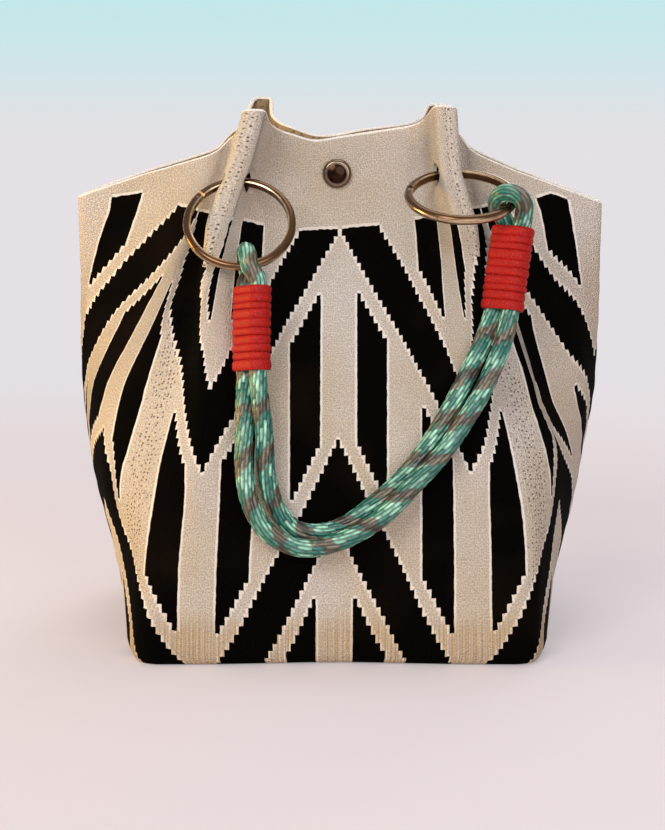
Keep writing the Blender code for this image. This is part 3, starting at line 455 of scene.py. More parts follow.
def knit_body_points():
    """The body's shell as rows of points: outer base, outer wall, half-round rim, inner wall and floor."""
    across, side = body_columns()
    count = len(across)
    top = np.where(side > 0, top_edge(across, 1), top_edge(across, -1)) - WALL / 2
    rows = np.array([0, 0.15, 0.35, 0.6, 1.0]) * BASE_ROUND
    wall_share = np.linspace(0, 1, WALL_STEPS + 1)[1:]
    heights = np.concatenate([np.broadcast_to(rows[:, None], (len(rows), count)),
                              BASE_ROUND + wall_share[:, None] * (top - BASE_ROUND)[None]])
    flat_across = np.broadcast_to(across, heights.shape).ravel()
    front = np.broadcast_to(side, heights.shape).ravel() > 0
    flat_heights = heights.ravel()
    points = np.empty((len(flat_heights), 3))
    points[front] = body_surface(flat_across[front], flat_heights[front], 1)
    points[~front] = body_surface(flat_across[~front], flat_heights[~front], -1)
    wale, row = knit_cells(flat_across, flat_heights)
    outer = points.reshape(*heights.shape, 3)
    inset = BASE_ROUND * (1 - np.sqrt(np.clip(1 - (1 - np.clip(heights / BASE_ROUND, 0, 1)) ** 2, 0, 1)))
    reach = np.linalg.norm(outer[..., :2], axis=-1)
    outer[..., :2] *= ((reach - inset) / reach)[..., None]
    around = np.roll(outer, -1, 1) - np.roll(outer, 1, 1)
    upward = np.gradient(outer, axis=0)
    normal = unit(np.cross(around, upward))
    outer -= normal * wrinkles(flat_across, flat_heights).reshape(*heights.shape, 1)
    rim_angle = np.linspace(0, math.pi, RIM_STEPS + 2)[1:-1, None, None]
    up = unit(upward[-1])
    rim = outer[-1] - normal[-1] * WALL / 2 * (1 - np.cos(rim_angle)) + up * WALL / 2 * np.sin(rim_angle)
    inner = (outer - normal * WALL)[::-1]
    keep = inner[..., 2].min(1) > WALL + 1.5 * MM
    inner = inner[keep][::2]
    floor_edge = inner[-1] * (1, 1, 0) + (0, 0, WALL)
    ring_shares = np.array([0.97, 0.8, 0.6, 0.4, 0.2])
    base = outer[0] * (ring_shares[::-1, None, None] * (1, 1, 0))
    floor = floor_edge * (ring_shares[:, None, None] * (1, 1, 0)) + (0, 0, WALL)
    knit_uv = np.stack([wale, row], -1).reshape(*heights.shape, 2)
    rows_up = rim_angle[..., 0][..., None] / math.pi * WALL * 1.57 / PLAIN_ROW
    rim_uv = knit_uv[-1] - np.array([0, 1]) * rows_up
    inner_uv = knit_uv[::-1][keep][::2]
    base_uv = base[..., :2] / (CELL, ROW)
    floor_uv = floor[..., :2] / (CELL, ROW)
    return (base, outer, rim, inner, floor), (base_uv, knit_uv, rim_uv, inner_uv, floor_uv)


def cylinder_cutter(name, middle, direction, radius, length, sides=40):
    """A closed cylinder: a circle carried along a straight line, with a fan at each end."""
    direction = unit(np.array(direction, dtype=float))
    sideways = unit(np.cross(direction, (0.0, 0.0, 1.0)))
    upward = np.cross(direction, sideways)
    angle = np.linspace(0, 2 * math.pi, sides, endpoint=False)[:, None]
    ring = radius * (np.cos(angle) * sideways + np.sin(angle) * upward)
    ends = np.array([-length / 2, length / 2])[:, None, None] * direction
    points = np.concatenate([(ring[None] + ends).reshape(-1, 3), ends[:, 0]]) + np.array(middle)
    faces = [grid_faces(2, sides), *end_fans(2, sides)]
    uv = np.full((sum(block.size for block in faces), 2), -3.0)
    return add_piece(name, points, faces, uv, "knit", smooth=False)


def cut_away(piece, cutters):
    """Subtracts closed cutters from a closed piece and drops them."""
    for cutter in cutters:
        boolean = piece.modifiers.new("cut", "BOOLEAN")
        boolean.operation = "DIFFERENCE"
        boolean.solver = "EXACT"
        boolean.object = cutter
    bpy.context.view_layer.update()
    mesh = bpy.data.meshes.new_from_object(piece.evaluated_get(bpy.context.evaluated_depsgraph_get()))
    piece.modifiers.clear()
    old, piece.data = piece.data, mesh
    mesh.name = piece.name
    bpy.data.meshes.remove(old)
    for cutter in cutters:
        bpy.data.objects.remove(cutter, do_unlink=True)


def ring_matrix(place, side):
    """Ring axes in world: X along the bar at the eye, Y from the ring's centre to the eye, and the centre."""
    flip = np.array((1, side, 1))
    eye, hang, turn = (np.array(table[place], dtype=float) * flip for table in (EYES, HANGS, TURNS))
    to_eye = -unit(hang)
    bar = unit(turn - to_eye * turn.dot(to_eye))
    matrix = np.eye(4)
    matrix[:3, :3] = np.stack([bar, to_eye, np.cross(bar, to_eye)], -1)
    matrix[:3, 3] = eye * MM - to_eye * RING_RADIUS
    return matrix


def moved(points, matrix):
    return points @ matrix[:3, :3].T + matrix[:3, 3]


def bar_section(count=BAR_SIDES):
    """Outline of the ring's bar as outward and sideways distances: a circle whose inner side is cut off flat
    and whose corners are eased by a power curve."""
    angle = np.linspace(0, 2 * math.pi, count, endpoint=False)
    outward, sideways = BAR_RADIUS * np.cos(angle), BAR_RADIUS * np.sin(angle)
    flat = -BAR_FLAT * (1 - np.exp(outward / BAR_FLAT * 2.2)) / (1 - math.exp(-2.2 * BAR_RADIUS / BAR_FLAT))
    return np.where(outward < 0, np.maximum(outward, flat), outward), sideways


def bar_arc(name, start, end):
    """The bar's section carried round an arc of the ring, in degrees, with rounded ends closed by fans."""
    steps = max(4, round(abs(end - start) / BAR_STEP) + 1)
    ease = math.degrees(0.25 * MM / RING_RADIUS)
    angles = np.concatenate([[start], np.linspace(start + ease, end - ease, steps), [end]])
    size = np.ones(len(angles))
    size[[0, -1]] = END_SIZE
    outward, sideways = bar_section()
    a = np.radians(angles)[:, None]
    reach = RING_RADIUS + outward[None] * size[:, None]
    grid = np.stack([reach * np.cos(a), reach * np.sin(a), sideways * size[:, None]], -1)
    rows, sides = grid.shape[:2]
    end = a[[0, -1], 0]
    middles = np.stack([RING_RADIUS * np.cos(end), RING_RADIUS * np.sin(end), np.zeros(2)], -1)
    points = np.concatenate([grid.reshape(-1, 3), middles])
    column = np.broadcast_to(np.arange(sides), (rows - 1, sides))
    row = np.arange(rows - 1)[:, None] + np.zeros((1, sides))
    corners = np.stack([np.stack([column, column + 1, column + 1, column], -1) / sides,
                        np.stack([row, row, row + 1, row + 1], -1) / rows], -1)[:, :, ::-1]
    uv = np.concatenate([corners.reshape(-1, 2), np.tile([0.25, 0.0], (6 * sides, 1))])
    faces = [grid_faces(rows, sides)[:, ::-1]]
    faces += [fan[:, [0, 2, 1]] for fan in end_fans(rows, sides)]
    return add_piece(name, points, faces, uv, "section")


def block_cutter(name, size, matrix):
    """A box of the given size, placed by a matrix: corners at plus and minus half the size."""
    corners = np.array([[x, y, z] for x in (-0.5, 0.5) for y in (-0.5, 0.5) for z in (-0.5, 0.5)]) * size
    faces = np.array([[0, 1, 3, 2], [4, 6, 7, 5], [0, 4, 5, 1], [2, 3, 7, 6], [0, 2, 6, 4], [1, 5, 7, 3]])
    return add_piece(name, moved(corners, matrix), [faces], smooth=False)


def ring_point(angle, radius=RING_RADIUS):
    a = math.radians(angle)
    return Vector((radius * math.cos(a), radius * math.sin(a), 0.0))


def make_ring(label, place, side):
    """A spring-gate ring: the frame with its tongue, and the gate whose slot takes the tongue."""
    gate_at = GATE_AT[place]
    nose_at = gate_at + GATE_SPAN
    spare = math.degrees(3 * BAR_RADIUS / RING_RADIUS)
    at_pin = np.array(Matrix.Translation(ring_point(gate_at))
                      @ Matrix.Rotation(math.radians(gate_at + 90), 4, "Z"))
    chord = ring_point(nose_at) - ring_point(gate_at)
    at_nose = np.array(Matrix.Translation(ring_point(nose_at))
                       @ Matrix.Rotation(math.atan2(chord.y, chord.x), 4, "Z"))

    def shifted(matrix, x, z=0.0):
        return matrix @ np.array(Matrix.Translation((x, 0, z)))

    wide = 6 * BAR_RADIUS
    shoulder = math.hypot(CHEEK_REACH, BAR_RADIUS) + GAP
    length, middle = shoulder + TONGUE_REACH + 2 * GAP, (TONGUE_REACH + 2 * GAP - shoulder) / 2
    bar = bar_arc(f"{label}_ring_bar", nose_at - spare,
                  gate_at + 360 + math.degrees(TONGUE_REACH / RING_RADIUS))
    cut_away(bar, [block_cutter(f"tongue_{s}", (length, 4 * BAR_RADIUS, 2 * BAR_RADIUS),
                                shifted(at_pin, middle, s * (TONGUE / 2 + BAR_RADIUS))) for s in (-1, 1)]
             + [block_cutter("frame_seam", (wide, wide, wide), shifted(at_nose, GAP - wide / 2))])
    gate = bar_arc(f"{label}_gate_bar", gate_at - math.degrees(CHEEK_REACH / RING_RADIUS), nose_at + spare)
    slot = (CHEEK_REACH + GAP + SLOT_REACH, 4 * BAR_RADIUS, TONGUE + 2 * GAP)
    at_slot = shifted(at_pin, (SLOT_REACH - CHEEK_REACH - GAP) / 2)
    cut_away(gate, [block_cutter("gate_slot", slot, at_slot),
                    block_cutter("gate_seam", (wide, wide, wide), shifted(at_nose, wide / 2))])
    matrix = Matrix(ring_matrix(place, side).tolist())
    for piece in (bar, gate):
        piece.data.transform(matrix)
        piece.data.set_sharp_from_angle(angle=math.radians(RING_SHARP_ANGLE))
    return bar, gate


def smooth_route(points, spacing):
    """Points evenly spaced on a centripetal Catmull-Rom curve through the route's own points."""
    route = np.array([list(p) for p in points])
    route = np.vstack([2 * route[0] - route[1], route, 2 * route[-1] - route[-2]])
    fine = []
    for i in range(1, len(route) - 2):
        p0, p1, p2, p3 = route[i - 1:i + 3]
        knot = np.concatenate([[0], np.cumsum(np.sqrt(np.linalg.norm([p1 - p0, p2 - p1, p3 - p2], axis=1)))])
        t = np.linspace(knot[1], knot[2], 24, endpoint=False)[:, None]
        a1 = (knot[1] - t) / (knot[1] - knot[0]) * p0 + (t - knot[0]) / (knot[1] - knot[0]) * p1
        a2 = (knot[2] - t) / (knot[2] - knot[1]) * p1 + (t - knot[1]) / (knot[2] - knot[1]) * p2
        a3 = (knot[3] - t) / (knot[3] - knot[2]) * p2 + (t - knot[2]) / (knot[3] - knot[2]) * p3
        b1 = (knot[2] - t) / (knot[2] - knot[0]) * a1 + (t - knot[0]) / (knot[2] - knot[0]) * a2
        b2 = (knot[3] - t) / (knot[3] - knot[1]) * a2 + (t - knot[1]) / (knot[3] - knot[1]) * a3
        fine.append((knot[2] - t) / (knot[2] - knot[1]) * b1 + (t - knot[1]) / (knot[2] - knot[1]) * b2)
    fine = np.vstack(fine + [route[-2][None]])
    along = lengths_along(fine)
    keep = np.concatenate([[True], np.diff(along) > 1e-7])
    fine, along = fine[keep], along[keep]
    wanted = np.linspace(0, along[-1], math.ceil(along[-1] / spacing) + 1)
    return np.stack([np.interp(wanted, along, fine[:, k]) for k in range(3)], -1)


def whip_axes(place):
    """Start, direction along the whipping, and the unit direction from its first strand to its second."""
    start, direction, across = (np.array(v, dtype=float) for v in WHIPS[place])
    direction = unit(direction)
    return start * MM, direction, unit(across - direction * across.dot(direction))


def strands(place):
    """Points down the middle of the first and the second strand in a whipping, from top to bottom."""
    start, direction, across = whip_axes(place)
    apart = across * (ROPE_RADIUS + STRAND_GAP / 2)
    return [[start + apart * s + direction * (WHIP_LENGTH * share) for share in STRAND_SHARES]
            for s in (-1, 1)]


def loop_points(place, first, second, steps=9):
    """The rope's turn over a ring bar, square to it: up from the first strand and down to the second."""
    matrix = ring_matrix(place, 1)
    local = np.linalg.inv(matrix) @ np.append(whip_axes(place)[0], 1)
    angle = math.atan2(local[1], local[0])
    wire = moved(RING_RADIUS * np.array([math.cos(angle), math.sin(angle), 0]), matrix)
    bar = unit(matrix[:3, :3] @ np.array([-math.sin(angle), math.cos(angle), 0]))
    rise = wire - (first + second) / 2
    rise = unit(rise - bar * rise.dot(bar))
    across = second - first
    across = unit(across - bar * across.dot(bar) - rise * across.dot(rise))
    reach = BAR_RADIUS + ROPE_RADIUS + STRAND_GAP
    turn = np.radians(np.linspace(LOOP_START, 180 - LOOP_START, steps))
    return [wire - across * (reach * math.cos(a)) + rise * (reach * math.sin(a)) for a in turn]


def rope_route():
    """The rope's centre line: outer run, round the right ring, back on the inner run, round the left ring."""
    left_first, left_second = strands("left")
    right_first, right_second = strands("right")
    outer = [np.array(p) * MM for p in OUTER_RUN]
    inner = [np.array(p) * MM for p in INNER_RUN]
    middle = len(STRAND_SHARES) // 2
    half_butt = unit(left_first[-1] - left_first[0]) * ROPE_BUTT / 2
    route = [left_first[middle] + half_butt] + left_first[middle + 1:] + outer + right_second[::-1]
    route += loop_points("right", right_second[0], right_first[0])
    route += right_first + inner[::-1] + left_second[::-1]
    route += loop_points("left", left_second[0], left_first[0])
    return route + left_first[:middle] + [left_first[middle] - half_butt]


def carried_axes(path, start_side):
    """Unit side directions carried along a path without twist, each the last one turned by the bend."""
    heading = unit(np.gradient(path, axis=0))
    sides = np.empty_like(path)
    sides[0] = unit(start_side - heading[0] * np.dot(start_side, heading[0]))
    for i in range(1, len(path)):
        side = sides[i - 1] - heading[i] * np.dot(sides[i - 1], heading[i])
        sides[i] = side / np.linalg.norm(side)
    return heading, sides, np.cross(heading, sides)


def round_tube(path, radius, start_side):
    """A round section carried along a path, its radius an array over (length, turn), as a grid of points."""
    heading, side, other = carried_axes(path, start_side)
    turn = np.linspace(0, 2 * math.pi, radius.shape[1], endpoint=False)
    out = np.cos(turn)[None, :, None] * side[:, None] + np.sin(turn)[None, :, None] * other[:, None]
    return path[:, None] + out * radius[..., None]


def add_cord(name, grid, path, mirror=(1, 1, 1), reverse=False):
    """A cord from the grid of points round its path, closed by fans at both ends, with its faces reversed if
    asked. UV: U is the turn from 0 to 1, V is the length along the path in millimetres."""
    rows, sides = grid.shape[:2]
    points = np.concatenate([grid.reshape(-1, 3), path[[0, -1]]]) * mirror
    faces = [grid_faces(rows, sides), *end_fans(rows, sides)]
    along = lengths_along(path) / MM
    column = np.broadcast_to(np.arange(sides), (rows - 1, sides))
    u = np.stack([column, column + 1, column + 1, column], -1) / sides
    v = np.stack([along[:-1], along[:-1], along[1:], along[1:]], -1)[:, None].repeat(sides, 1)
    corners = np.stack([u, v], -1).reshape(-1, 4, 2)
    if reverse:
        faces, corners = [block[:, ::-1] for block in faces], corners[:, ::-1]
    uv = np.concatenate([corners.reshape(-1, 2), np.tile([0.5, 0.0], (6 * sides, 1))])
    return add_piece(name, points, faces, uv, "length")


# Materials


def pattern_group():
    """Chevrons and stripes as 1 where the knit is black, from the wale and row of a cell. k is the wale
    folded to 0..32 and j the whole row. Rows of the repeat are m = (j - k) modulo the period; the last ten
    are the black band, and between them stripes of seven wales stand with four plain rows above and below."""
    group = bpy.data.node_groups.new("chevron_and_stripe", "ShaderNodeTree")
    group.interface.new_socket("Cells", in_out="INPUT", socket_type="NodeSocketVector")
    group.interface.new_socket("Black", in_out="OUTPUT", socket_type="NodeSocketFloat")
    start = add_node(group, "NodeGroupInput")
    parts = add_node(group, "SeparateXYZ", [start])
    wale = add_node(group, "Math", [parts.outputs[0]], operation="ROUND")
    k = add_node(group, "Math", [wale, HALF_REPEAT], operation="PINGPONG")
    j = add_node(group, "Math", [parts.outputs[1]], operation="FLOOR")
    step = add_node(group, "Math", [j, k], operation="SUBTRACT")
    m = add_node(group, "Math", [step, PERIOD], operation="FLOORED_MODULO")
    band = add_node(group, "Math", [m, 27.5], operation="GREATER_THAN")
    stripe_rows = add_node(group, "Math", [m, 13.5, 10.1], operation="COMPARE")
    from_middle = add_node(group, "Math", [k, 16], operation="SUBTRACT")
    apart = add_node(group, "Math", [from_middle], operation="ABSOLUTE")
    stripe_wales = add_node(group, "Math", [apart, 8, 3.1], operation="COMPARE")
    stripe = add_node(group, "Math", [stripe_rows, stripe_wales], operation="MULTIPLY")
    either = add_node(group, "Math", [band, stripe], operation="MAXIMUM")
    patterned = add_node(group, "Math", [j, -0.5], operation="GREATER_THAN")
    black = add_node(group, "Math", [either, patterned], operation="MULTIPLY")
    add_node(group, "NodeGroupOutput", [black])
    return group


def knit_places(tree):
    """The knit's cells at a point of the fabric, and the same place in millimetres on it."""
    cells = add_node(tree, "UVMap", uv_map="knit")
    return cells, add_node(tree, "VectorMath", [cells, (CELL / MM, ROW / MM, 1)], operation="MULTIPLY")


def knit_material(settings):
    """Machine-knitted jacquard in matt cotton-like yarn: black stays plain, cream shows its pebbled stitches
    with painted shade in the pits between them, its smooth bright edge stitches beside the black, and the
    drop-stitch holes down one wale at each side of a panel."""
    material, tree = new_material("jacquard_knit_cotton")
    cells, size = knit_places(tree)
    place = add_node(tree, "TexCoord").outputs["Object"]
    group = pattern_group()

    # Yarn waver: cells stray by up to a tenth of a cell, so edges aren't ruled.
    waver = add_node(tree, "TexNoise", {"Vector": cells, "Scale": 0.9, "Detail": 1.0})
    centred = add_node(tree, "VectorMath", [waver.outputs["Color"], (0.5, 0.5, 0.5)], operation="SUBTRACT")
    small = add_node(tree, "VectorMath", {0: centred, "Scale": 0.28}, operation="SCALE")
    strayed = add_node(tree, "VectorMath", [cells, small], operation="ADD")
    black = add_node(tree, "Group", [strayed], node_tree=group)

    # Cream stitches that touch black, found by looking about half a cell to each side and up and down.
    near = None
    for shift in ((0.55, 0, 0), (-0.55, 0, 0), (0, 0.4, 0), (0, -0.4, 0)):
        beside = add_node(tree, "VectorMath", [strayed, shift], operation="ADD")
        look = add_node(tree, "Group", [beside], node_tree=group)
        near = look if near is None else add_node(tree, "Math", [near, look], operation="MAXIMUM")

    # Stitches in real size: pebbles of yarn about 1.3 mm apart, pulled a little out of their rows.
    pebble = add_node(tree, "TexVoronoi", {"Vector": size, "Scale": 0.76, "Randomness": 0.7},
                      voronoi_dimensions="2D").outputs["Distance"]
    grain = add_node(tree, "TexNoise", {"Vector": size, "Scale": 1.3, "Detail": 3.0, "Roughness": 0.6})
    cloud = add_node(tree, "TexNoise", {"Vector": place, "Scale": 14.0, "Detail": 2.0})

    # Cream: slow drift between two yarn tones, painted shade in the pits between pebbles, edge stitches
    # brighter.
    tone = add_node(tree, "MapRange", [cloud.outputs["Fac"], 0.35, 0.65])
    cream = add_node(tree, "Mix", {0: tone, 6: settings.cream, 7: settings.cream_warm}, data_type="RGBA")
    pit_shade = add_node(tree, "MapRange", [pebble, 0.1, 0.6, 0.42, 0.0])
    grit = add_node(tree, "MapRange", [grain.outputs["Fac"], 0.42, 0.7, 0.0, 0.42])
    dark = add_node(tree, "Math", [pit_shade, grit], operation="ADD")
    away = add_node(tree, "MapRange", [near, 0.0, 1.0, 1.0, 0.45])
    shade = add_node(tree, "Math", [dark, away], operation="MULTIPLY", use_clamp=True)
    stitch_shaded = add_node(tree, "Mix", {0: shade, 6: cream, 7: settings.painted_stitch_shade}, data_type="RGBA")
    edge = add_node(tree, "Math", [near, 0.4], operation="MULTIPLY")
    edged = add_node(tree, "Mix", {0: edge, 6: stitch_shaded, 7: settings.edge_stitch_and_rim_highlight}, data_type="RGBA")

    # Ribs: from 34 mm down to 16 mm above the base the knit turns golden, in uneven ribs 1 to 2 mm apart.
    height = add_node(tree, "SeparateXYZ", [place]).outputs[2]
    low = add_node(tree, "MapRange", [height, 0.034, 0.016], interpolation_type="SMOOTHSTEP")
    across = add_node(tree, "SeparateXYZ", [size]).outputs[0]
    ribs = add_node(tree, "TexNoise", {"W": across, "Scale": 0.9, "Detail": 2.0}, noise_dimensions="1D")
    ribbed = add_node(tree, "MapRange", [ribs.outputs["Fac"], 0.4, 0.6, 0.1, 0.95])
    golden = add_node(tree, "Math", [ribbed, low], operation="MULTIPLY")
    based = add_node(tree, "Mix", {0: golden, 6: edged, 7: settings.rib_gold_and_groove_shade}, data_type="RGBA")

    # Drop-stitch holes: dots 2.4 mm apart, thickest at one wale and scattered for four wales to each side.
    wale = add_node(tree, "SeparateXYZ", [cells]).outputs[0]
    unsigned = add_node(tree, "Math", [wale], operation="ABSOLUTE")
    astray = add_node(tree, "Math", [unsigned, EYELET_WALE], operation="SUBTRACT")
    reach = add_node(tree, "Math", [astray], operation="ABSOLUTE")
    dots = add_node(tree, "TexVoronoi", {"Vector": size, "Scale": 0.42, "Randomness": 0.7},
                    voronoi_dimensions="2D")
    dot = add_node(tree, "MapRange", [dots.outputs["Distance"], 0.12, 0.26, 1.0, 0.0])
    luck = add_node(tree, "SeparateXYZ", [dots.outputs["Color"]]).outputs[0]
    down = add_node(tree, "SeparateXYZ", [cells]).outputs[1]
    narrow = add_node(tree, "MapRange", [down, 2.0, 12.0, 2.2, 1.0])
    spread = add_node(tree, "Math", [reach, narrow], operation="MULTIPLY")
    odds = add_node(tree, "MapRange", [spread, 1.4, 4.6, 1.0, 0.0])
    strength = add_node(tree, "Math", [odds, luck], operation="SUBTRACT")
    chosen = add_node(tree, "MapRange", [strength, -0.1, 0.5, 0.0, 0.85])
    hole = add_node(tree, "Math", [dot, chosen], operation="MULTIPLY")
    holed = add_node(tree, "Mix", {0: hole, 6: based, 7: settings.hole}, data_type="RGBA")

    # Black: dark yarn with a trace of brown in random patches.
    worn = add_node(tree, "MapRange", [cloud.outputs["Fac"], 0.55, 0.8, 0.0, 0.6])
    yarn = add_node(tree, "Mix", {0: worn, 6: settings.black, 7: settings.black_brown_patch}, data_type="RGBA")
    colour = add_node(tree, "Mix", {0: black, 6: holed, 7: yarn}, data_type="RGBA")

    dome = add_node(tree, "Math", [pebble, 2.0], operation="POWER")
    relief = add_node(tree, "Math", [dome, 2.0], operation="MULTIPLY")
    rough = add_node(tree, "Math", [grain.outputs["Fac"], 0.5], operation="MULTIPLY")
    stitches = add_node(tree, "Math", [relief, rough], operation="ADD")
    calm = add_node(tree, "Math", [stitches, away], operation="MULTIPLY")
    sunk = add_node(tree, "Math", [calm, hole], operation="SUBTRACT")
    raised = add_node(tree, "Math", [black, -0.6, sunk], operation="MULTIPLY_ADD")
    bump = add_node(tree, "Bump", {"Height": raised, "Strength": 0.9, "Distance": 0.6 * MM})
    finish(tree, colour, bump, roughness=0.9, specular=0.03)
    return material


def finish(tree, colour, normal, roughness, metallic=0.0, specular=0.5):
    """Principled shader and output for a finished material."""
    inputs = {"Base Color": colour, "Roughness": roughness, "Metallic": metallic,
              "Specular IOR Level": specular}
    if normal is not None:
        inputs["Normal"] = normal
    shader = add_node(tree, "BsdfPrincipled", inputs)
    add_node(tree, "OutputMaterial", [shader])


def backing_material(settings):
    """Birdseye backing, the inside of a jacquard knit: cream and dark stitches alternate as fine speckle, and
    the cream is darkened to brown as painted shade inside the bag.
    """
    material, tree = new_material("jacquard_knit_backing")
    size = knit_places(tree)[1]
    speckle = add_node(tree, "TexVoronoi", {"Vector": size, "Scale": 0.75, "Randomness": 0.7},
                       voronoi_dimensions="2D")
    pick = add_node(tree, "SeparateXYZ", [speckle.outputs["Color"]]).outputs[0]
    dark = add_node(tree, "MapRange", [pick, 0.72, 0.82, 0.0, 0.6])
    # Painted shade: the backing's light yarn is a darker brown than the cream of the outside.
    colour = add_node(tree, "Mix", {0: dark, 6: settings.backing_and_inner_shade, 7: settings.hole}, data_type="RGBA")
    bump = add_node(tree, "Bump", {"Height": speckle.outputs["Distance"], "Strength": 0.6,
                                   "Distance": 0.3 * MM}, invert=True)
    finish(tree, colour, bump, roughness=0.95, specular=0.2)
    return material


def rim_material(settings):
    """Bound edge of the knit: a tight, smooth row of stitches that runs along the top, painted pale as its
    highlight, with painted shade between the stitches.
    """
    material, tree = new_material("bound_knit_edge")
    size = knit_places(tree)[1]
    stitches = add_node(tree, "TexVoronoi", {"Vector": size, "Scale": 0.8, "Randomness": 0.5},
                        voronoi_dimensions="2D").outputs["Distance"]
    # Painted highlight: the bound edge is pale, with painted shade between its stitches.
    shade = add_node(tree, "MapRange", [stitches, 0.3, 0.65, 0.0, 0.35])
    colour = add_node(tree, "Mix", {0: shade, 6: settings.edge_stitch_and_rim_highlight, 7: settings.painted_stitch_shade},
                      data_type="RGBA")
    bump = add_node(tree, "Bump", {"Height": stitches, "Strength": 0.4, "Distance": 0.3 * MM}, invert=True)
    finish(tree, colour, bump, roughness=0.85, specular=0.2)
    return material


def base_material(settings):
    """Plain rib knit of the base and floor: fine cream ribs 0.6 mm apart, with painted golden shade in the
    grooves.
    """
    material, tree = new_material("rib_knit_base")
    size = knit_places(tree)[1]
    ribs = add_node(tree, "TexWave", {"Vector": size, "Scale": 0.5, "Distortion": 1.2, "Detail": 2.0,
                                      "Detail Scale": 1.0}, bands_direction="X")
    # Painted shade: the grooves of the ribs take the darker golden colour.
    colour = add_node(tree, "Mix", {0: ribs.outputs["Fac"], 6: settings.rib_gold_and_groove_shade, 7: settings.cream},
                      data_type="RGBA")
    bump = add_node(tree, "Bump", {"Height": ribs.outputs["Fac"], "Strength": 0.6, "Distance": 0.4 * MM})
    finish(tree, colour, bump, roughness=0.92, specular=0.2)
    return material


def rope_material(settings):
    """Braided polyester cord: glossy filament yarns in short dashes, teal with painted mint glints, and
    brown-grey tracer yarns gathered into slanting bands 25 mm apart, with painted shade in the grooves
    between the yarns and streaks of painted sheen along them."""
    material, tree = new_material("braided_polyester_cord")
    parts = add_node(tree, "SeparateXYZ", [add_node(tree, "UVMap", uv_map="length")])
    turn, along = parts.outputs[0], parts.outputs[1]

    # Yarn and pick numbers as in the mesh: yarns lean by one yarn per lay, and every other one is offset.
    lean = add_node(tree, "Math", [along, -MM / LAY], operation="MULTIPLY")
    yarn = add_node(tree, "Math", [turn, YARNS, lean], operation="MULTIPLY_ADD")
    whole = add_node(tree, "Math", [yarn], operation="FLOOR")
    number = add_node(tree, "Math", [whole, YARNS], operation="FLOORED_MODULO")
    odd = add_node(tree, "Math", [whole, 2], operation="FLOORED_MODULO")
    offset = add_node(tree, "Math", [odd, 0.5], operation="MULTIPLY")
    pick = add_node(tree, "Math", [along, MM / PICK, offset], operation="MULTIPLY_ADD")
    dash = add_node(tree, "CombineXYZ", [number, add_node(tree, "Math", [pick], operation="FLOOR")])
    each = add_node(tree, "TexWhiteNoise", {"Vector": dash}, noise_dimensions="2D").outputs["Value"]
    across = add_node(tree, "Math", [yarn, 0.5], operation="PINGPONG")
    down = add_node(tree, "Math", [pick, 0.5], operation="PINGPONG")

    # Tracer bands: slanting round the rope, with each pick's own chance of being brown.
    slant = add_node(tree, "Math", [turn, -1.0], operation="MULTIPLY")
    place = add_node(tree, "Math", [along, 1 / 25.0, slant], operation="MULTIPLY_ADD")
    wave = add_node(tree, "Math", [place, 0.5], operation="PINGPONG")
    jitter = add_node(tree, "Math", [each, 0.2, wave], operation="MULTIPLY_ADD")
    brown = add_node(tree, "MapRange", [jitter, 0.41, 0.46])
    # Painted glints: a random share of the dashes is made pale, mint on the teal and light brown on the
    # tracers.
    mint_glint = add_node(tree, "MapRange", [each, 0.3, 0.9])
    teal = add_node(tree, "Mix", {0: mint_glint, 6: settings.teal, 7: settings.mint_glint}, data_type="RGBA")
    tracer = add_node(tree, "Mix", {0: mint_glint, 6: settings.tracer, 7: settings.tracer_glint}, data_type="RGBA")
    colour = add_node(tree, "Mix", {0: brown, 6: teal, 7: tracer}, data_type="RGBA")

    # Dashes: each yarn keeps its colour down the middle, with painted shade in the grooves beside it and
    # where it dips under.
    beside = add_node(tree, "MapRange", [across, 0.0, 0.42, 0.0, 1.0], interpolation_type="SMOOTHSTEP")
    under = add_node(tree, "MapRange", [down, 0.0, 0.34, 0.42, 1.0], interpolation_type="SMOOTHSTEP")
    crown = add_node(tree, "Math", [beside, under], operation="MULTIPLY")
    groove = add_node(tree, "MapRange", [crown, 0.0, 0.95, 0.82, 0.0])
    grooved = add_node(tree, "Mix", {0: groove, 6: colour, 7: settings.groove}, data_type="RGBA")
    # Painted sheen: slow streaks along each yarn scale its colour brighter and darker.
    slow = add_node(tree, "Math", [along, 0.12], operation="MULTIPLY")
    stretched = add_node(tree, "CombineXYZ", [yarn, slow])
    filament = add_node(tree, "TexNoise", {"Vector": stretched, "Scale": 3.0, "Detail": 1.0})
    sheen_streaks = add_node(tree, "MapRange", [filament.outputs["Fac"], 0.35, 0.65, 0.8, 1.15])
    lit = add_node(tree, "VectorMath", {0: grooved, "Scale": sheen_streaks}, operation="SCALE")
    bump = add_node(tree, "Bump", {"Height": crown, "Strength": 0.6, "Distance": 0.3 * MM})
    finish(tree, lit, bump, roughness=0.3, specular=0.6)
    return material


def whipping_material(settings):
    """Twisted nylon cord: saturated red with a satin glint, and painted shade in the darker grooves between
    fine strands.
    """
    material, tree = new_material("twisted_nylon_cord")
    parts = add_node(tree, "SeparateXYZ", [add_node(tree, "UVMap", uv_map="length")])
    twist = add_node(tree, "Math", [parts.outputs[1], 0.9], operation="MULTIPLY")
    strand = add_node(tree, "Math", [parts.outputs[0], 14.0, twist], operation="MULTIPLY_ADD")
    shape = add_node(tree, "CombineXYZ", [strand, parts.outputs[1]])
    fibre = add_node(tree, "TexNoise", {"Vector": shape, "Scale": 1.2, "Detail": 3.0})
    # Painted shade: where the strand pattern sinks in the bump, the red turns darker.
    tone = add_node(tree, "MapRange", [fibre.outputs["Fac"], 0.38, 0.62])
    colour = add_node(tree, "Mix", {0: tone, 6: settings.red_dark, 7: settings.red}, data_type="RGBA")
    bump = add_node(tree, "Bump", {"Height": fibre.outputs["Fac"], "Strength": 0.3, "Distance": 0.12 * MM})
    finish(tree, colour, bump, roughness=0.55, specular=0.22)
    return material


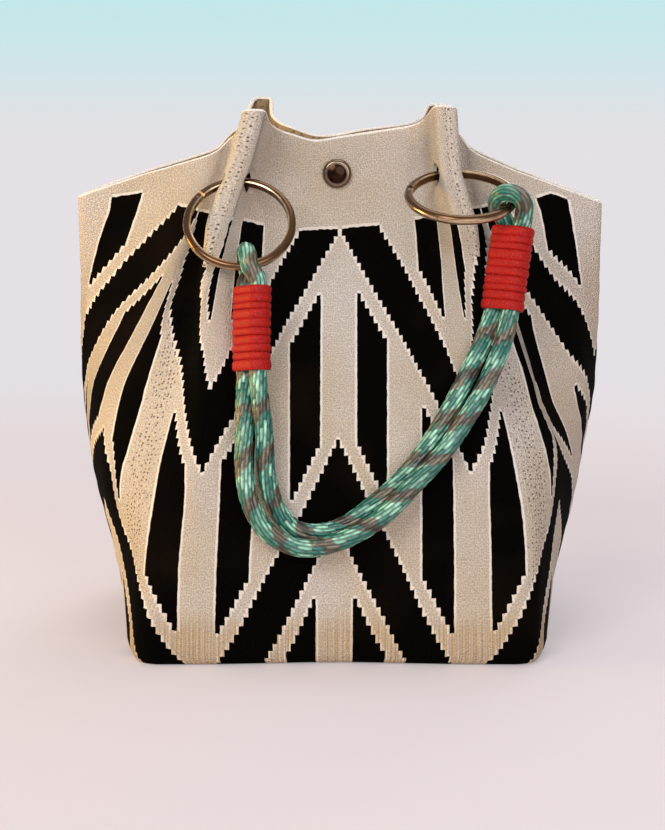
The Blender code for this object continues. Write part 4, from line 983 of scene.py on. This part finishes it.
def ring_material(settings):
    """Gunmetal-plated steel, tumbled: a dark warm mirror with painted highlights, pale lines along the bar's
    crest and corners.
    """
    material, tree = new_material("tumbled_gunmetal_ring")
    round_bar = add_node(tree, "SeparateXYZ", [add_node(tree, "UVMap", uv_map="section")])
    place = add_node(tree, "TexCoord").outputs["Object"]
    smudge = add_node(tree, "TexNoise", {"Vector": place, "Scale": 260.0, "Detail": 3.0})
    # Painted highlight lines: pale along the crest of the bar and beside the corners of its flat face, in
    # patches.
    from_crest = add_node(tree, "Math", [round_bar.outputs[0], 0.5], operation="PINGPONG")
    crest = add_node(tree, "MapRange", [from_crest, 0.03, 0.1, 0.8, 0.0], interpolation_type="SMOOTHSTEP")
    from_corner = add_node(tree, "Math", [from_crest, 0.35], operation="SUBTRACT")
    off_corner = add_node(tree, "Math", [from_corner], operation="ABSOLUTE")
    corner = add_node(tree, "MapRange", [off_corner, 0.015, 0.06, 1.0, 0.0], interpolation_type="SMOOTHSTEP")
    painted_highlight = add_node(tree, "Math", [crest, corner], operation="MAXIMUM")
    patchy = add_node(tree, "MapRange", [smudge.outputs["Fac"], 0.35, 0.65, 0.55, 1.0])
    wear = add_node(tree, "Math", [painted_highlight, patchy], operation="MULTIPLY")
    colour = add_node(tree, "Mix", {0: wear, 6: settings.patina, 7: settings.pale_gunmetal_wear_and_highlight}, data_type="RGBA")
    dull = add_node(tree, "MapRange", [smudge.outputs["Fac"], 0.3, 0.7, 0.16, 0.27])
    bump = add_node(tree, "Bump", {"Height": smudge.outputs["Fac"], "Strength": 0.15, "Distance": 0.08 * MM})
    finish(tree, colour, bump, roughness=dull, metallic=1.0)
    return material


def steel_material(name, colour, wear, roughness):
    """Gunmetal-plated steel, tumbled and brushed: a dark warm mirror with fine scratches and pale wear."""
    material, tree = new_material(name)
    place = add_node(tree, "TexCoord").outputs["Object"]
    smudge = add_node(tree, "TexNoise", {"Vector": place, "Scale": 180.0, "Detail": 3.0})
    scratch = add_node(tree, "TexNoise", {"Vector": place, "Scale": 1400.0, "Detail": 2.0})
    worn = add_node(tree, "MapRange", [smudge.outputs["Fac"], 0.45, 0.75, 0.0, 0.6])
    plate = add_node(tree, "Mix", {0: worn, 6: colour, 7: wear}, data_type="RGBA")
    dull = add_node(tree, "MapRange", [smudge.outputs["Fac"], 0.3, 0.7, roughness, roughness + 0.1])
    bump = add_node(tree, "Bump", {"Height": scratch.outputs["Fac"], "Strength": 0.12, "Distance": 0.05 * MM})
    finish(tree, plate, bump, roughness=dull, metallic=1.0)
    return material


def cap_material(settings):
    """Gunmetal-plated snap cap: the dome painted near-black as a dark reflection, with the lighter plating
    round the rim as its painted bright reflection.
    """
    material, tree = new_material("gunmetal_snap_cap")
    parts = add_node(tree, "SeparateXYZ", [add_node(tree, "TexCoord").outputs["Object"]])
    rise = add_node(tree, "Math", [parts.outputs[2], -SNAP_HEIGHT], operation="ADD")
    spot = add_node(tree, "CombineXYZ", [parts.outputs[0], rise])
    radius = add_node(tree, "VectorMath", [spot], operation="LENGTH").outputs["Value"]
    # Painted reflection: near-black over the middle of the dome, the lighter plating only round the rim.
    rim = add_node(tree, "MapRange", [radius, 0.6 * CAP_RADIUS, 0.78 * CAP_RADIUS],
                   interpolation_type="SMOOTHSTEP")
    colour = add_node(tree, "Mix", {0: rim, 6: settings.dome_reflection, 7: settings.gunmetal}, data_type="RGBA")
    finish(tree, colour, None, roughness=0.16, metallic=1.0)
    return material


def floor_material(settings):
    """Matt studio card with the bag's shadow. Away from the bag the camera sees the backdrop's colour."""
    material, tree = new_material("studio_card")
    place = add_node(tree, "TexCoord").outputs["Object"]
    grain = add_node(tree, "TexNoise", {"Vector": place, "Scale": 40.0})
    tint = add_node(tree, "MapRange", [grain.outputs["Fac"], 0.3, 0.7, 0.99, 1.0])
    colour = add_node(tree, "VectorMath", {0: settings.card[:3], "Scale": tint}, operation="SCALE")
    reach = add_node(tree, "VectorMath", [place], operation="LENGTH")
    far = add_node(tree, "MapRange", [reach.outputs["Value"], 0.3, 1.1, 0.35, 1.0],
                   interpolation_type="SMOOTHSTEP")
    rays = add_node(tree, "LightPath")
    seen = add_node(tree, "Math", [rays.outputs["Is Camera Ray"], far], operation="MULTIPLY")
    card = add_node(tree, "BsdfPrincipled", {"Base Color": colour, "Roughness": 0.9,
                                             "Specular IOR Level": 0.1})
    glow = add_node(tree, "Emission", [settings.backdrop, 1.0])
    mixed = add_node(tree, "MixShader", [seen, card, glow])
    add_node(tree, "OutputMaterial", [mixed])
    return material


# Settings


def colour_setting(name, description, hex_colour):
    return bpy.props.FloatVectorProperty(name=name, description=description, subtype="COLOR", size=4, min=0,
                                         max=1, default=linear(hex_colour))


class ToteColours(bpy.types.PropertyGroup):
    """Colours of the bag's yarns, cords and plating."""

    cream: colour_setting("Cream yarn", "Main light yarn of the body", "#E9E0D7")
    cream_warm: colour_setting("Warm cream yarn", "Tone the light yarn drifts to", "#DFD0BA")
    # Painted shade in the pits between raised stitches, on the knit and on its bound edge.
    painted_stitch_shade: colour_setting("Stitch pits", "Light yarn between raised stitches", "#7E6B59")
    # Pale yarn of the edge stitches beside the black, and the painted highlight of the bound edge.
    edge_stitch_and_rim_highlight: colour_setting("Edge stitches", "Light yarn beside the black", "#F4EEE6")
    # Golden tone of the ribs near the base, and the painted shade in the grooves of the base's rib knit.
    rib_gold_and_groove_shade: colour_setting("Rib grooves", "Golden tone of the ribs at the base", "#B89A6C")
    black: colour_setting("Black yarn", "Dark yarn of the body", "#040302")
    # Brown drawn in random patches on the black yarn.
    black_brown_patch: colour_setting("Worn black yarn", "Dark yarn where it creases", "#1C120B")
    hole: colour_setting("Drop-stitch holes", "Shade inside the small holes", "#4A3522")
    # Light yarn of the inside, darkened to brown as painted shade.
    backing_and_inner_shade: colour_setting("Backing", "Light yarn on the inside of the knit", "#9F8767")
    teal: colour_setting("Teal strands", "Main strands of the rope", "#137868")
    # Painted glint colour of the rope's pale dashes.
    mint_glint: colour_setting("Mint strands", "Light flecks of the rope", "#ACF0D2")
    tracer: colour_setting("Tracer strands", "Brown-grey strands of the rope", "#3C2C22")
    # Painted glint colour of the pale dashes in the tracer bands.
    tracer_glint: colour_setting("Light tracer strands", "Paler brown-grey strands", "#82775F")
    groove: colour_setting("Rope grooves", "Shade between the yarns of the rope", "#1E2A22")
    red: colour_setting("Whipping", "Cord wound round both strands", "#C01B11")
    red_dark: colour_setting("Whipping grooves", "Shade between its fine strands", "#7E0D0A")
    gunmetal: colour_setting("Gunmetal", "Plating of the pins, the snap's socket and its rim", "#7D6B5A")
    patina: colour_setting("Ring patina", "Dark plating in the hollows of the rings", "#644A34")
    # Pale gunmetal: worn plating on the pins and the spring's colour, and the painted highlight lines on the
    # rings.
    pale_gunmetal_wear_and_highlight: colour_setting("Worn gunmetal", "Plating where it is rubbed", "#DEC5A2")
    # Painted dark reflection on the dome of the snap cap.
    dome_reflection: colour_setting("Dark oxide", "Dome of the snap cap", "#2C1D15")
    backdrop: colour_setting("Backdrop", "Pale surroundings near the floor", "#E5E0E4")
    backdrop_top: colour_setting("Upper backdrop", "Pale surroundings higher up", "#C2E8EB")
    card: colour_setting("Studio card", "Floor under the bag", "#E9DDE2")


class ToteSizes(bpy.types.PropertyGroup):
    """Sizes that a maker may change."""

    relief: bpy.props.FloatProperty(name="Braid relief", description="Height of a strand on the rope",
                                    subtype="DISTANCE", unit="LENGTH", default=ROPE_RELIEF, min=0, max=1 * MM)
    turns: bpy.props.IntProperty(name="Whipping turns", description="Turns of cord in a whipping",
                                 default=10, min=4, max=20)


# Operators


class TOTE_OT_camera(bpy.types.Operator):
    """Sets the camera in front of the bag, a little above its middle and looking slightly down"""

    bl_idname = "tote.camera"
    bl_label = "Camera"

    def execute(self, context):
        elevation = math.radians(CAMERA_ELEVATION)
        target = Vector((0, 0, CAMERA_TARGET_HEIGHT))
        camera = bpy.data.cameras.new("camera")
        camera.lens, camera.sensor_width = CAMERA_LENS, CAMERA_SENSOR
        camera.shift_x, camera.shift_y = (shift / PICTURE_HEIGHT for shift in CAMERA_SHIFT)
        camera.clip_start, camera.clip_end = 0.05, 20
        holder = bpy.data.objects.new("camera", camera)
        context.scene.collection.objects.link(holder)
        holder.location = target + Vector((0, -math.cos(elevation), math.sin(elevation))) * CAMERA_DISTANCE
        holder.rotation_euler = (math.pi / 2 - elevation, 0, 0)
        context.scene.camera = holder
        return {"FINISHED"}


class TOTE_OT_ropes(bpy.types.Operator):
    """Braids the two endless ropes: each yarn is a half round that dips at the ends of each pick"""

    bl_idname = "tote.ropes"
    bl_label = "Ropes"

    def execute(self, context):
        material = rope_material(context.scene.tote_colours)
        route = smooth_route(rope_route(), ROPE_STEP)
        along = lengths_along(route)
        turn = np.arange(ROPE_SIDES) / ROPE_SIDES
        yarn = turn[None] * YARNS - along[:, None] / LAY
        pick = along[:, None] / PICK + 0.5 * (np.floor(yarn) % 2)
        across, down = 2 * (yarn % 1) - 1, 2 * (pick % 1) - 1
        crown = np.sqrt(np.clip(1 - across**2, 0, 1)) * (1 - down**6)
        radius = ROPE_RADIUS + context.scene.tote_sizes.relief * (crown - 0.6)
        for label, side in (("front", 1), ("back", -1)):
            path = route * (1, side, 1)
            grid = round_tube(path, radius, np.array((1.0, 0.2 * side, 0.1)))
            rope = add_cord(f"{label}_braided_rope", grid, path)
            rope.data.materials.append(material)
            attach(rope, f"{label}_handle")
            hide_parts(f"{label}_rope")
        return {"FINISHED"}


class TOTE_OT_whippings(bpy.types.Operator):
    """Winds red cord round both strands: an oval helix that swells and shrinks a little between turns"""

    bl_idname = "tote.whippings"
    bl_label = "Whippings"

    def execute(self, context):
        material = whipping_material(context.scene.tote_colours)
        turns = context.scene.tote_sizes.turns
        for label, side in (("front", 1), ("back", -1)):
            for place in ("left", "right"):
                piece = wound_cord(f"{label}_{place}_wound_whipping", place, side, turns)
                piece.data.materials.append(material)
                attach(piece, f"{label}_handle")
                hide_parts(f"{label}_{place}_whipping")
        return {"FINISHED"}


def wound_cord(name, place, side, turns):
    """Cord wound on an oval: its centre runs square round a slot outline, straight for twice half and bent at
    the radius reach, and steps down to the next turn on the hidden side. Turns differ in width by the sine of
    their number, the section is a rounded oval, and the ends dip inwards, tucked under the turns."""
    start, direction, across = whip_axes(place)
    outward = np.cross(direction, across)
    half = ROPE_RADIUS + STRAND_GAP / 2
    reach = ROPE_RADIUS + WHIP_THICK / 2 + WHIP_SEAT
    winding = np.linspace(0, 1, turns * WHIP_TURN_STEPS + 1) * turns
    flat, bend = 2 * half, math.pi * reach
    arc = 2 * (flat + bend)
    s = (winding * arc + arc / 2 + flat / 2) % arc
    parts = [s < flat, s < flat + bend, s < 2 * flat + bend]
    angle = np.select(parts, [0 * s + math.pi / 2, math.pi / 2 + (s - flat) / reach, 0 * s + 1.5 * math.pi],
                      1.5 * math.pi + (s - 2 * flat - bend) / reach)
    x = np.select(parts, [half - s, -half + 0 * s, -half + s - flat - bend], half)
    number = np.arange(turns)
    widths = 1 + 0.17 * np.sin(2.3 * number + len(name)) + 0.08 * np.sin(5.1 * number)
    widths *= WHIP_LENGTH / widths.sum()
    middles = np.cumsum(widths) - widths / 2
    place_in = np.clip(winding - 0.5, 0, turns - 1.001)
    turn = place_in.astype(int)
    share = np.clip((place_in - turn - 0.34) / 0.32, 0, 1)
    share = share**2 * (3 - 2 * share)
    after = np.minimum(turn + 1, turns - 1)
    climb = middles[turn] + (middles[after] - middles[turn]) * share + 0.12 * MM * np.sin(winding * 4.1)
    wide = (widths[turn] + (widths[after] - widths[turn]) * share) * 0.515
    swell = 0.14 * MM * np.sin(2.9 * np.floor(winding)) + 0.1 * MM * np.sin(winding * 6.8 + 1.0)
    tuck = 1.3 * MM * (np.clip(1 - winding * 8, 0, 1) + np.clip(1 - (turns - winding) * 8, 0, 1))
    out = np.cos(angle)[:, None] * across + np.sin(angle)[:, None] * outward
    path = start + x[:, None] * across + out * (reach + swell - tuck)[:, None] + direction * climb[:, None]
    around = np.linspace(0, 2 * math.pi, WHIP_SIDES, endpoint=False)
    thin, broad = (np.sign(wave) * np.abs(wave) ** 0.95 for wave in (np.cos(around), np.sin(around)))
    section = ((thin * WHIP_THICK / 2)[None, :, None] * out[:, None]
               + broad[None, :, None] * (direction * wide[:, None])[:, None])
    return add_cord(name, path[:, None] + section, path, mirror=(1, side, 1), reverse=side > 0)


class TOTE_OT_knit_body(bpy.types.Operator):
    """Knits the body: one closed shell with a half-round rim and eyes, its pattern laid out in cells"""

    bl_idname = "tote.knit_body"
    bl_label = "Knitted body"

    def execute(self, context):
        colours = context.scene.tote_colours
        blocks, uvs = knit_body_points()
        count = blocks[0].shape[1]
        rows = [len(block) for block in blocks]
        points = np.concatenate([block.reshape(-1, 3) for block in blocks] + [[(0, 0, 0), (0, 0, WALL)]])
        uv = np.concatenate([block.reshape(-1, 2) for block in uvs])
        total = sum(rows)
        quads, fans = grid_faces(total, count), end_fans(total, count)
        corner_uv = [uv[quads].reshape(-1, 2)]
        for fan in fans:
            fan_uv = np.zeros((count, 3, 2))
            fan_uv[:, 1:] = uv[fan[:, 1:]]
            corner_uv.append(fan_uv.reshape(-1, 2))
        row_of = np.arange(total - 1).repeat(count)
        rim = rows[0] + rows[1] - 1
        slots = np.select([row_of < rows[0], row_of < rim, row_of < rim + rows[2] + 1,
                           row_of < total - rows[4] - 1], [2, 0, 3, 1], 2)
        slots = np.concatenate([slots, np.full(2 * count, 2)])
        body = add_piece("knitted_body", points, [quads, *fans], np.concatenate(corner_uv), "knit")
        for material in (knit_material, backing_material, base_material, rim_material):
            body.data.materials.append(material(colours))
        body.data.polygons.foreach_set("material_index", slots.astype(np.int32))
        cutters = []
        for side in (1, -1):
            left, right = (np.array(EYES[place]) * MM * (1, side, 1) for place in ("left", "right"))
            cutters += [cylinder_cutter("eye", eye, right - left, EYE_RADIUS, EYE_DEPTH)
                        for eye in (left, right)]
        cutters.append(cylinder_cutter("post", (0, 0, SNAP_HEIGHT), (0, 1, 0), POST_HOLE_RADIUS,
                                       POST_HOLE_DEPTH, 20))
        cut_away(body, cutters)
        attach(body, "bag")
        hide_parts("knit_body")
        return {"FINISHED"}


class TOTE_OT_rings(bpy.types.Operator):
    """Bends the four spring-gate rings and finishes their pins and springs"""

    bl_idname = "tote.rings"
    bl_label = "Rings and gates"

    def execute(self, context):
        colours = context.scene.tote_colours
        plated = ring_material(colours)
        steel = steel_material("gunmetal_plated_steel", colours.gunmetal, colours.pale_gunmetal_wear_and_highlight, 0.2)
        spring = steel_material("drawn_spring_steel", colours.pale_gunmetal_wear_and_highlight, colours.pale_gunmetal_wear_and_highlight, 0.3)
        for label, side in (("front", 1), ("back", -1)):
            for place in ("left", "right"):
                bar, gate = make_ring(f"{label}_{place}", place, side)
                for piece, node, body in ((bar, "ring", f"{label}_handle"),
                                          (gate, "gate", f"{label}_{place}_gate_arm")):
                    piece.data.materials.clear()
                    piece.data.materials.append(plated)
                    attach(piece, body)
                    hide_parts(f"{label}_{place}_{node}")
                dress(f"{label}_{place}_gate_pin", steel)
                dress(f"{label}_{place}_gate_spring", spring)
        return {"FINISHED"}


def dress(node, material):
    """Puts a material on every slot of a node of the frame."""
    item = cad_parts[node]
    for slot in item.material_slots:
        slot.link = "DATA"
        slot.material = material


class TOTE_OT_snap(bpy.types.Operator):
    """Turns the snap's domed caps about their middle line and finishes the socket and stud"""

    bl_idname = "tote.snap"
    bl_label = "Snap fastener"

    def execute(self, context):
        colours = context.scene.tote_colours
        steel = bpy.data.materials["gunmetal_plated_steel"]
        cap = cap_material(colours)
        outer = -float(smooth_levels(MIDDLE_Y, np.array([SNAP_HEIGHT]), MIDDLE_LEVELS)[0])
        seat, inner = outer + CAP_SEAT, outer - WALL
        profile = np.vstack([np.array(CAP_PROFILE) * (CAP_RADIUS, CAP_HEIGHT),
                             [(POST_RADIUS, 0), (POST_RADIUS, inner - seat)]])
        reach, height = profile[:, :1], profile[:, 1:]
        turn = np.linspace(0, 2 * math.pi, CAP_SIDES, endpoint=False)
        for label, side in (("front", -1), ("back", 1)):
            grid = np.stack([reach * np.cos(turn), side * (seat + height) + 0 * turn,
                             SNAP_HEIGHT + reach * np.sin(turn)], -1)
            poles = [(0, side * (seat + CAP_HEIGHT), SNAP_HEIGHT), (0, side * inner, SNAP_HEIGHT)]
            points = np.concatenate([grid.reshape(-1, 3), poles])
            blocks = [grid_faces(len(profile), CAP_SIDES), *end_fans(len(profile), CAP_SIDES)]
            if side > 0:
                blocks = [block[:, ::-1] for block in blocks]
            piece = add_piece(f"{label}_snap_dome", points, blocks)
            piece.data.set_sharp_from_angle(angle=math.radians(CAP_SHARP_ANGLE))
            piece.data.materials.append(cap)
            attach(piece, "bag")
            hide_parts(f"{label}_snap_cap")
        dress("snap_socket", steel)
        dress("snap_stud", steel)
        return {"FINISHED"}


class TOTE_OT_stage(bpy.types.Operator):
    """Lays the pale card, hangs the soft lamps and sets the pale surroundings"""

    bl_idname = "tote.stage"
    bl_label = "Studio"

    def execute(self, context):
        scene = context.scene
        scene.view_settings.view_transform = "Standard"
        card = add_piece("studio_floor", [(-4, -4, 0), (4, -4, 0), (4, 6, 0), (-4, 6, 0)],
                         [np.array([[0, 1, 2, 3]])], smooth=False)
        card.data.materials.append(floor_material(scene.tote_colours))
        for name, (at, size, power, colour) in LAMPS.items():
            lamp = bpy.data.lights.new(name, "AREA")
            lamp.shape, lamp.size, lamp.energy = "DISK", size, power
            lamp.color = linear(colour)[:3]
            holder = bpy.data.objects.new(name, lamp)
            scene.collection.objects.link(holder)
            holder.location = at
            aim = Vector((0, 0, CAMERA_TARGET_HEIGHT)) - Vector(at)
            holder.rotation_euler = aim.to_track_quat("-Z", "Y").to_euler()
        world = bpy.data.worlds.new("studio")
        scene.world = world
        world.use_nodes = True
        tree = world.node_tree
        tree.nodes.clear()
        rays = add_node(tree, "LightPath")
        parts = add_node(tree, "SeparateXYZ", [add_node(tree, "TexCoord").outputs["Generated"]])
        up = add_node(tree, "MapRange", [parts.outputs[2], -0.045, 0.05], interpolation_type="SMOOTHSTEP")
        tint = add_node(tree, "Mix", {0: up, 6: scene.tote_colours.backdrop,
                                      7: scene.tote_colours.backdrop_top}, data_type="RGBA")
        seen = add_node(tree, "Background", [tint, 1.0])
        dim = add_node(tree, "Background", [linear(SURROUNDINGS), 0.36])
        mirrored = add_node(tree, "Background", [scene.tote_colours.backdrop, 0.75])
        gloss = add_node(tree, "MixShader", [rays.outputs["Is Glossy Ray"], dim, mirrored])
        mixed = add_node(tree, "MixShader", [rays.outputs["Is Camera Ray"], gloss, seen])
        add_node(tree, "OutputWorld", [mixed])
        return {"FINISHED"}


OPERATORS = (TOTE_OT_camera, TOTE_OT_whippings, TOTE_OT_ropes, TOTE_OT_knit_body, TOTE_OT_rings, TOTE_OT_snap,
             TOTE_OT_stage)


class TOTE_PT_panel(bpy.types.Panel):
    """Lists the pieces of the tote bag"""

    bl_idname = "TOTE_PT_panel"
    bl_label = "Tote bag"
    bl_space_type = "VIEW_3D"
    bl_region_type = "UI"
    bl_category = "Tote bag"

    def draw(self, context):
        for operator in OPERATORS:
            self.layout.operator(operator.bl_idname)
        for group in (context.scene.tote_sizes, context.scene.tote_colours):
            for name in group.bl_rna.properties.keys():
                if name not in {"rna_type", "name"}:
                    self.layout.prop(group, name)


CLASSES = (ToteColours, ToteSizes, *OPERATORS, TOTE_PT_panel)


def register():
    for item in CLASSES:
        bpy.utils.register_class(item)
    bpy.types.Scene.tote_colours = bpy.props.PointerProperty(type=ToteColours)
    bpy.types.Scene.tote_sizes = bpy.props.PointerProperty(type=ToteSizes)


def unregister():
    del bpy.types.Scene.tote_sizes
    del bpy.types.Scene.tote_colours
    for item in reversed(CLASSES):
        bpy.utils.unregister_class(item)


def main():
    register()
    for operator in OPERATORS:
        prefix, name = operator.bl_idname.split(".")
        getattr(getattr(bpy.ops, prefix), name)()


if __name__ == "__main__":
    main()
